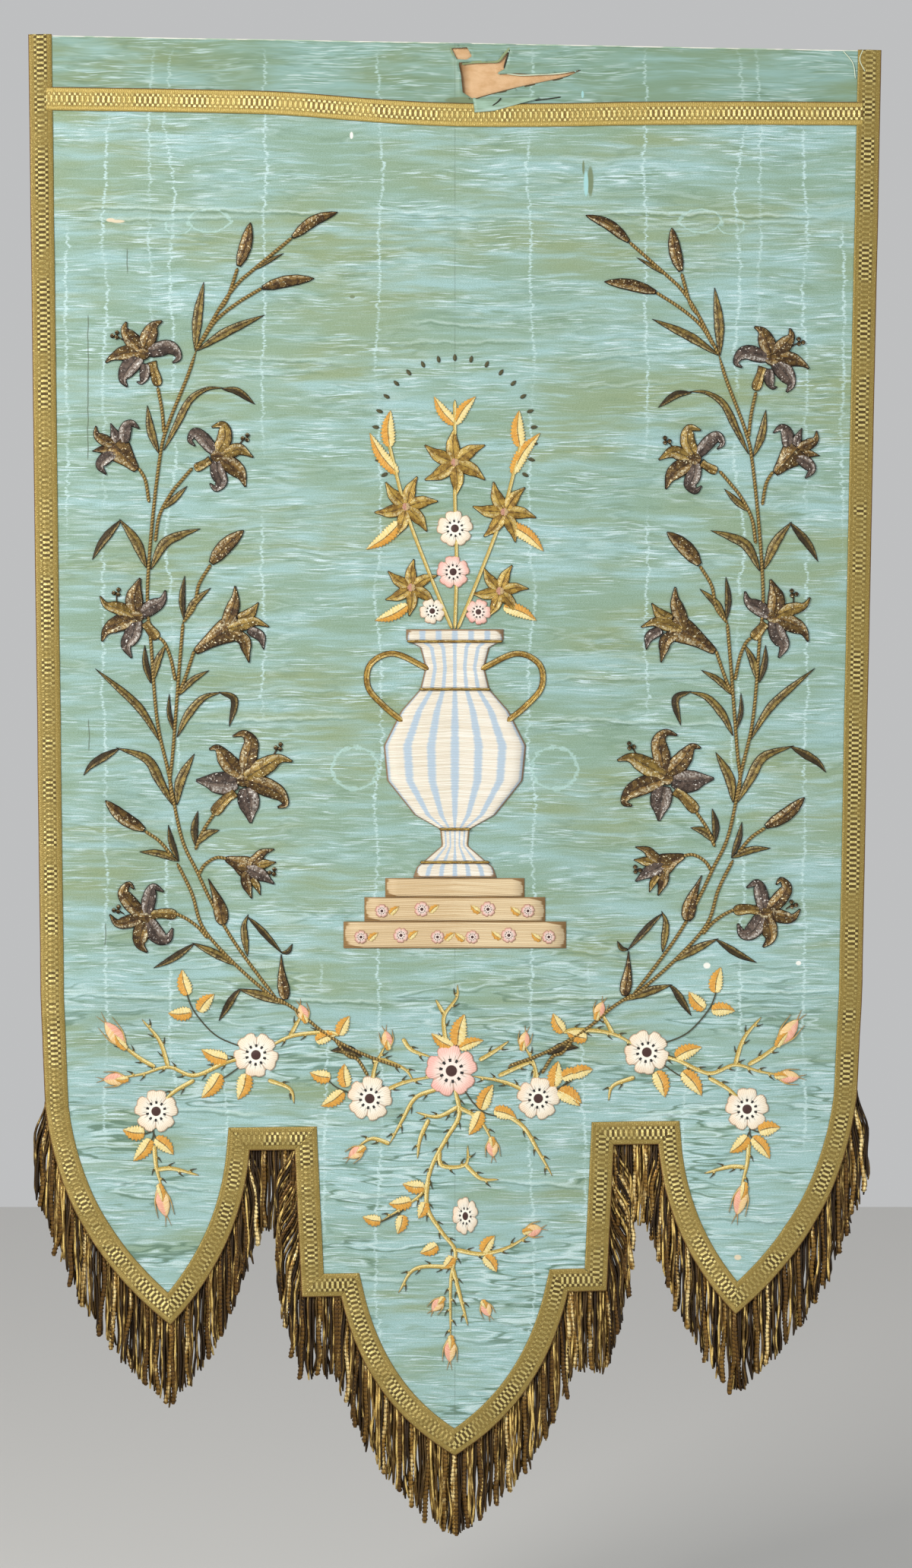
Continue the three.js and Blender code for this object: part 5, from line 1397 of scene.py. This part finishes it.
floss_finishes = [
    satin("satin_white", ("F6F1E4", "E6DCC8"), ("F2ECDD", "DDD3BE"), "8A6430", 2.6, 3.4, None, 6.0),
    satin("satin_tan", ("E4CFA8", "D2B88E"), ("DCC49C", "C8AC80"), "8A6430", 1.6, 3.0),
    couched("handle_gold", ("C9A24C", "9C7630"), ("D8B45C", "A8823A"), "4A3414", "FFF4C0", 0.8),
    satin("leaf_yellow", ("F8E9AE", "F0D88A"), ("E6AC48", "D08E30"), "C8A050", 0.4, 4.6, "4A4426"),
    bloom_finish("rose_cream", ("F8F2E2", "EEDFC6"), "EFC9AC", "3E1C14", "0E0806"),
    bloom_finish("rose_pink", ("F8E4D8", "F2BCAE"), "EE9E9C", "3E1C14", "0E0806"),
    satin("bud_peach", ("F4BEA8", "EBA48C"), ("F6DCAC", "EBC07E"), "D0A050", 0.7, 4.0),
    satin("vine_gold", ("F4E4A4", "E2CA78"), ("D0B25C", "AE9140"), "8C7634", 0.45, 2.4),
    satin("tendril_green", ("4E4A26", "3A3A1E"), ("5C5630", "443F22"), "2E2C16", 0.4, 2.4),
    couched("pot_lily_gold", ("C8A248", "94702C"), ("DAB85E", "A07C34"), "3A2810", "FFF4C0", 0.9, 0.4, 0.7),
]
WHITE, TAN, GILT, YELLOW, CREAM, PINK, PEACH, VINE, TENDRIL, POT_LILY = range(10)
step_shape = ([0, 1], [1, 1])
thorn_shape, vine_shape = ([0, 1], [1, 0.1]), ([0, 0.06, 0.5, 0.9, 1], [0.6, 1, 0.85, 0.5, 0.15])
plump_shape = ([0, 0.1, 0.36, 0.66, 0.88, 1], [0.3, 0.8, 1, 0.78, 0.34, 0.04])


def little_leaf(base, tip, width, number=YELLOW, lift=0.3):
    """A slightly curved leaf with a sewn middle and a toothed edge, from its base to its tip."""
    base, tip = np.array(base, float), np.array(tip, float)
    sideways = np.array([-(tip - base)[1], (tip - base)[0]]) * 0.06
    line = [base, (base + tip) / 2 + sideways, tip]
    return pad(line, width * 1.15, plump_shape, 1.4, number, lift, 1.8, 0.3, 0.15)


plinth_parts = [pad([(0, foot), (0, top)], 2 * half, step_shape, 1.2, TAN, step=4)
                for half, foot, top in plinth_steps]
# Blooms along the steps, each with a leaf beside it: distance from the middle, height, size
plinth_blooms = ((108, -1030, 8), (62, -1028, 9), (20, -1030, 8), (84, -1000, 8), (38, -998, 9))
for side in (-1, 1):
    for x, z, size in plinth_blooms:
        plinth_parts.append(bloom(side * x, z, size, 1, PINK, 1.2))
        plinth_parts.append(little_leaf((side * (x - 9), z - 4), (side * (x - 20), z + 5), 7, YELLOW, 1.2))
gather("pot_plinth", plinth_parts, ["plinth"], floss_finishes, False)
vase_half, vase_foot, vase_rim = vase_profile[:, 0].max(), vase_profile[0, 1], vase_profile[-1, 1]
vase_shape = ((vase_profile[:, 1] - vase_foot) / (vase_rim - vase_foot), vase_profile[:, 0] / vase_half)
vase_parts = [pad([(0, vase_foot), (0, vase_rim)], 2 * vase_half, vase_shape, 2.6, WHITE, step=3)]
vase_parts += [pad(np.array(vase_handle) * (side, 1), 7, cord_shape, 2.0, GILT) for side in (-1, 1)]
vase_bands = ((-745, 41), (-906, 18), (-944, 40), (-690, 55))
for z, half in vase_bands:
    vase_parts.append(pad([(-half, z), (half, z)], 3.4, cord_shape, 1.2, GILT, 2.4))
gather("pot_vase", vase_parts, ["vase"], floss_finishes, False)
bunch = [pad(line, 4.2, cord_shape, 1.4, VINE) for line in pot_stems]
bunch += [little_leaf(*row) for row in pot_leaves]
for x, z, radius, turn in pot_lilies:
    for k in range(6):
        angle = np.radians(turn + 60 * k)
        tip = np.array((x, z)) + radius * np.array((np.cos(angle), np.sin(angle)))
        bend = np.array((x, z)) + 0.55 * radius * np.array((np.cos(angle + 0.12), np.sin(angle + 0.12)))
        lift = 0.3 + 0.1 * (k % 2)
        bunch.append(pad([(x, z), bend, tip], radius * 0.42, petal_shape, 2.0, POT_LILY, lift, 1.8, 0.3))
    bunch.append(bloom(x, z, 5, 1, PEACH, 1.6))
for k, (x, z, radius) in enumerate(pot_roses):
    bunch.append(bloom(x, z, radius, 1, PINK if k % 2 else CREAM, 0.4))
for angle in np.radians(np.linspace(*lozenge_arc, lozenges)):
    out = np.array((np.cos(angle), np.sin(angle)))
    spot = np.array(lozenge_middle) + lozenge_ring * out
    bunch.append(pad([spot - 4 * out, spot, spot + 4 * out], 4.4, bud_shape, 0.8, TENDRIL, 0.0, 1.5))
gather("pot_flowers", bunch, ["bouquet"], floss_finishes, False)

# Rose garland along the foot: open roses, buds and two-coloured leaves in silk floss, on thin gold vines
# with short dark thorns. The left end is mirrored on the right, and the middle hangs into the point.
# Vines and stalks: points of each. Roses: middle, radius, share of full width, finish. Buds and leaves:
# base, tip, width
side_vines = [
    [(-133, -1143), (-150, -1140), (-190, -1145), (-229, -1166)],
    [(-190, -1145), (-182, -1130), (-175, -1118)],
    [(-229, -1166), (-262, -1174), (-300, -1190), (-330, -1180), (-360, -1188), (-393, -1193)],
    [(-330, -1180), (-340, -1150), (-360, -1125)], [(-345, -1180), (-365, -1168), (-393, -1146)],
    [(-300, -1195), (-325, -1210), (-344, -1231)], [(-215, -1195), (-190, -1205), (-185, -1222)],
    [(-346, -1270), (-345, -1285), (-343, -1298), (-337, -1320)],
    [(-343, -1298), (-325, -1297), (-295, -1305)],
]
side_stalks = [
    [(-310, -1090), (-302, -1113), (-285, -1135), (-270, -1147), (-248, -1156)],
    [(-250, -1168), (-262, -1172), (-272, -1169)], [(-248, -1180), (-262, -1190), (-276, -1198)],
    [(-236, -1188), (-241, -1196), (-244, -1204)], [(-347, -1252), (-348, -1262), (-356, -1272)],
    [(-348, -1254), (-358, -1257), (-368, -1254)], [(-347, -1256), (-342, -1266), (-334, -1274)],
    [(-121, -1210), (-138, -1202), (-150, -1190)], [(-125, -1207), (-140, -1216), (-146, -1220)],
]
side_roses = [(-229, -1166, 26, 1, CREAM), (-344, -1231, 25, 1, CREAM)]
side_buds = [((-171, -1127), (-178, -1108), 13), ((-380, -1156), (-402, -1128), 17),
             ((-378, -1193), (-404, -1194), 15),
             ((-340, -1318), (-332, -1352), 16)]
side_leaves = [
    ((-307, -1097), (-314, -1068), 14), ((-303, -1117), (-330, -1118), 14),
    ((-295, -1116), (-277, -1096), 14),
    ((-262, -1172), (-292, -1160), 15), ((-270, -1188), (-292, -1216), 16),
    ((-240, -1188), (-250, -1218), 16),
    ((-357, -1256), (-382, -1252), 15), ((-350, -1263), (-370, -1288), 14),
    ((-345, -1262), (-324, -1281), 14),
    ((-143, -1192), (-167, -1186), 14), ((-125, -1203), (-127, -1176), 14),
    ((-128, -1208), (-154, -1225), 14),
    ((-160, -1150), (-136, -1142), 13), ((-133, -1143), (-121, -1121), 13),
]
middle_vines = [
    [(0, -1205), (5, -1235), (-10, -1262), (-25, -1290), (-35, -1320), (-50, -1335), (-85, -1357)],
    [(-30, -1300), (-32, -1340), (-15, -1370), (0, -1390), (-2, -1410), (-5, -1430), (-5, -1495)],
    [(60, -1235), (80, -1250), (95, -1275), (112, -1305)],
    [(-20, -1205), (-45, -1215), (-60, -1240), (-75, -1268)],
    [(5, -1225), (-20, -1237), (-45, -1232)], [(-18, -1275), (-15, -1293), (12, -1292), (15, -1270)],
    [(12, -1292), (30, -1308), (50, -1309)], [(-30, -1240), (-40, -1262), (-43, -1285)],
    [(0, -1390), (30, -1395), (60, -1388), (88, -1372)], [(0, -1410), (-45, -1412), (-65, -1440)],
    [(-3, -1410), (5, -1440), (15, -1478)],
    [(-8, -1160), (-12, -1140), (-12, -1120), (2, -1100), (3, -1085)],
    [(-12, -1120), (-22, -1102)], [(-60, -1147), (-50, -1160), (-28, -1168)],
    [(28, -1172), (45, -1162), (62, -1150)],
    [(-95, -1173), (-82, -1172), (-58, -1182), (-48, -1195)],
    [(50, -1190), (85, -1175), (92, -1180), (90, -1195)],
    [(-98, -1216), (-60, -1198), (-20, -1190)], [(96, -1216), (60, -1198), (20, -1190)],
    [(-98, -1216), (-92, -1180), (-80, -1155)], [(96, -1216), (92, -1180), (80, -1155)],
    [(2, -1225), (28, -1240), (43, -1265)], [(-75, -1268), (-95, -1262), (-110, -1270)],
]
middle_stalks = [
    [(-2, -1166), (3, -1150), (8, -1132)], [(0, -1160), (14, -1150), (28, -1149)],
    [(0, -1160), (-12, -1150), (-20, -1144)],
    [(10, -1205), (22, -1222), (38, -1234), (66, -1238)], [(28, -1228), (34, -1214), (40, -1205)],
    [(116, -1208), (126, -1200), (140, -1188)], [(-50, -1335), (-62, -1346), (-86, -1358), (-100, -1356)],
]
middle_roses = [(-98, -1216, 26, 1, CREAM), (96, -1216, 25, 1, CREAM), (-4, -1184, 30, 1, PINK),
                (12, -1351, 22, 0.68, CREAM)]
middle_buds = [((-76, -1158), (-80, -1138), 13), ((78, -1159), (82, -1139), 13),
               ((-105, -1272), (-122, -1284), 14),
               ((42, -1262), (44, -1283), 14), ((80, -1370), (100, -1366), 15),
               ((32, -1450), (40, -1467), 13),
               ((-14, -1446), (-26, -1461), 13), ((-5, -1492), (-6, -1520), 14)]
middle_leaves = [
    ((3, -1155), (11, -1119), 17), ((-2, -1157), (-27, -1141), 12), ((5, -1158), (33, -1149), 12),
    ((30, -1229), (44, -1200), 15), ((30, -1231), (16, -1258), 14), ((45, -1230), (71, -1239), 14),
    ((-35, -1318), (-60, -1314), 14), ((-50, -1334), (-76, -1337), 14), ((-60, -1350), (-66, -1372), 13),
    ((-34, -1335), (-42, -1354), 12), ((-85, -1357), (-106, -1352), 12), ((-20, -1385), (-40, -1394), 13),
    ((-2, -1398), (-14, -1412), 11), ((32, -1393), (46, -1374), 13), ((34, -1397), (48, -1416), 13),
    ((123, -1192), (147, -1186), 14), ((115, -1203), (117, -1176), 14), ((118, -1208), (144, -1225), 14),
]


def thorns(line, pitch=12.0, reach=8.5):
    """Short gold stitches with dark tips that stand off a vine, by turns to one side and the other."""
    line, _ = along_line(rounded(line), pitch)
    ahead = directions(line)
    side = np.stack([-ahead[:, 1], ahead[:, 0]], -1) * np.where(np.arange(len(line)) % 2, 1, -1)[:, None]
    made = []
    for a, n, d in zip(line[1:-1], side[1:-1], ahead[1:-1]):
        bend, tip = a + (n * 0.5 + d * 0.35) * reach, a + (n * 0.8 + d * 0.95) * reach
        made.append(pad([a, bend], 2.6, step_shape, 0.7, VINE, 0.1, 1.5))
        made.append(pad([a + (bend - a) * 0.6, bend, tip], 2.4, thorn_shape, 0.7, TENDRIL, 0.3, 1.5))
    return made


def garland(vines, stalks, roses, buds, leaves, turned):
    """Every vine, stalk, thorn, leaf, bud and rose of one length of the garland, from back to front."""
    made = [pad(turned(line), 5.2, vine_shape, 1.0, VINE) for line in vines]
    made += [pad(turned(line), 1.5, cord_shape, 0.8, TENDRIL, 0.3) for line in stalks]
    for line in vines:
        made += thorns(turned(line))
    made += [little_leaf(*turned([base, tip]), width) for base, tip, width in leaves]
    for base, tip, width in buds:
        ends = turned([base, tip])
        made.append(pad(ends, width, bud_shape, 2.0, PEACH, 0.3, 1.5, 0.3))
        axis = ends[1] - ends[0]
        out = np.array([-axis[1], axis[0]]) * width / np.hypot(*axis)
        made.append(little_leaf(ends[0] - axis * 0.12, (ends[0] + ends[1]) / 2, width * 0.5, YELLOW, 1.6))
        for side in (-1, 1):
            sepal = [ends[0], ends[0] + axis * 0.4 + out * 0.52 * side, ends[0] + axis + out * 0.6 * side]
            made.append(pad(sepal, 2.6, thorn_shape, 0.8, YELLOW, 1.0, 1.6))
            petal_tip = [ends[1] - axis * 0.1, ends[1] + axis * 0.34 + out * 0.22 * side]
            made.append(pad(petal_tip, 1.5, thorn_shape, 0.6, PEACH))
    for x, z, radius, squash, number in roses:
        (spot,) = turned([(x, z)])
        made.append(bloom(*spot, radius, squash, number, 0.4))
    return made


mirror_shift = (-8, 3)


def other_side(points):
    """Points mirrored to the right end, which sits a little in and up."""
    return np.asarray(points, float) * (-1, 1) + mirror_shift


lengths = [
    ("garland_left", "rose_garland_left", as_drawn), ("garland_right", "rose_garland_right", other_side),
    ("garland_middle", "rose_garland_centre", as_drawn),
]
for name, node, turned in lengths:
    if node == "rose_garland_centre":
        parts = garland(middle_vines, middle_stalks, middle_roses, middle_buds, middle_leaves, turned)
    else:
        parts = garland(side_vines, side_stalks, side_roses, side_buds, side_leaves, turned)
    gather(name, parts, [node], floss_finishes, False)

# Torn silk of the heading: a loose flap hangs over the gold braid, and the edges of the tear are frayed and
# rolled, with painted shade where they lift off the canvas and painted shadow strips beside and under them.
# The same silk, held only by the seam above.
# The flap's seam runs from seam_start, seam_width long; its free edge from foot_start, foot_width long
seam_start, seam_width, seam_height, seam_rise = 20.5, 76, -64.2, 1.0
foot_start, foot_width, flap_front, flap_lift, flap_wave = 22.8, 74, 1.9, 2.0, 0.35
foot_line = ([22, 24, 45, 60, 75, 97], [-81, -81, -79.4, -75, -71, -65])
torn_x, row = np.meshgrid(np.linspace(0, 1, 20), np.linspace(0, 1, 9))
from_x, to_x = seam_start + torn_x * seam_width, foot_start + torn_x * foot_width
to_z = np.interp(to_x, *foot_line)
flap_z = seam_height + torn_x * seam_rise + row * (to_z - seam_height - torn_x * seam_rise)
flap_depth = flap_front + flap_lift * np.minimum(row * 2.2, 1) + flap_wave * np.sin(torn_x * 9) * row
points = on_cloth(from_x + row * (to_x - from_x), flap_z, flap_depth)
flap_finish, start = new_finish("torn_silk")
at = Shade(start)
sheen = start.noise(at.weft(24, 5, 3, at.x), 1, 2, 0.6).step(0.35, 0.7)
shine = (at.z + 80.5 - (at.x - 24) * 0.16).step(3, 0) * 0.5
tone = shine.over(sheen.tint("7E9880", "96B4A0"), "B4CCC0")
close_finish(start, {"Base Color": tone, "Roughness": 0.5})
mesh = bpy.data.meshes.new("torn_flap")
join_meshes(mesh, points.reshape(-1, 3), [grid_faces(*row.shape)])
flap = place("heading_torn_flap", mesh, ["heading_silk"], [flap_finish])
thick = flap.modifiers.new("silk", "SOLIDIFY")
flap_thickness = 0.5
thick.thickness, thick.offset = flap_thickness / 1000, 0

# The first tint paints shade along the edges that lift off the canvas, and the last paints their shadows.
torn_finishes = []
torn_tints = {"torn_edge_shade": "4A4228", "torn_olive": "84926A", "torn_pale": "CBD6BE", "torn_shadow": "2A2618"}
for name, tint in torn_tints.items():
    finish, start = new_finish(name)
    close_finish(start, {"Base Color": colour(tint), "Roughness": 0.8})
    torn_finishes.append(finish)
# Rolled and frayed edges, strips of painted shadow beside and under the lifted silk, and loose threads at
# the
# right corner: finish, width, lift, line
torn_lines = [
    (0, 2.0, 0.0, [(22, -66), (50, -58.2), (78, -51.4), (112, -44.2), (132, -39), (143, -34)]),
    (2, 1.4, 0.0, [(59, -36), (75, -38), (92, -37.6), (120, -36), (143, -31.8)]),
    (1, 2.8, 0.3, [(8, -25), (22, -23.2), (38, -22.6), (50, -21.8), (56, -15), (64, -6)]),
    (0, 1.5, 0.0, [(6, -36), (7.4, -48), (9, -58), (18, -66)]),
    (1, 1.8, 0.0, [(-5, -6), (-3, -13), (2, -20), (5, -26)]),
    (3, 2.0, 0.1, [(66, -6), (60, -18), (56.6, -30)]),
    (3, 1.4, 2.2, [(43, -73.5), (49, -69.5), (53, -64.5)]),
    (3, 1.2, 0.1, [(92, -67.2), (106, -65.4), (122, -63)]),
    (2, 1.0, 0.6, [(447, -10), (458, -24), (461, -42)]), (2, 1.0, 0.6, [(470, -8), (466, -20), (472, -34)]),
]
parts = [pad(line, width, cord_shape, 0.6, tint, lift, 1.6) for tint, width, lift, line in torn_lines]
gather("heading_torn_edges", parts, ["heading_silk"], torn_finishes, False)

# Light and ground for the picture: a pale floor below the banner, a pale sky and two soft lamps.
floor_finish, start = new_finish("pale_floor")
close_finish(start, {"Base Color": colour("DAD8D4"), "Roughness": 0.9})
mesh = bpy.data.meshes.new("floor")
floor_half, floor_front, floor_back, floor_level = 4000, -3000, 5000, -1950
corners = [(-1, floor_front), (1, floor_front), (1, floor_back), (-1, floor_back)]
points = [(side * floor_half, y, floor_level) for side, y in corners]
join_meshes(mesh, np.array(points), [np.array([[0, 1, 2, 3]])])
mesh.materials.append(floor_finish)
floor = bpy.data.objects.new("floor", mesh)
bpy.context.scene.collection.objects.link(floor)


def lamp(name, spot, aim, size, watts, tint):
    """A soft square lamp at a spot, turned to face its aim."""
    data = bpy.data.lights.new(name, "AREA")
    data.size, data.energy, data.color = size, watts, tint
    made = bpy.data.objects.new(name, data)
    made.location = spot
    made.rotation_euler = (Vector(aim) - Vector(spot)).to_track_quat("-Z", "Y").to_euler()
    bpy.context.scene.collection.objects.link(made)


lamp("key_light", (-2.6, -3.2, 0.9), (0, 0, -0.95), 1.3, 150, (1.0, 0.985, 0.96))
lamp("fill_light", (2.6, -3.4, -1.2), (0, 0, -1.0), 2.0, 36, (0.97, 0.985, 1.0))
bpy.context.scene.view_settings.view_transform = "Standard"
world = bpy.data.worlds.new("pale_room")
world.use_nodes = True
world.node_tree.nodes["Background"].inputs["Color"].default_value = (0.86, 0.87, 0.88, 1)
world.node_tree.nodes["Background"].inputs["Strength"].default_value = 0.6
bpy.context.scene.world = world
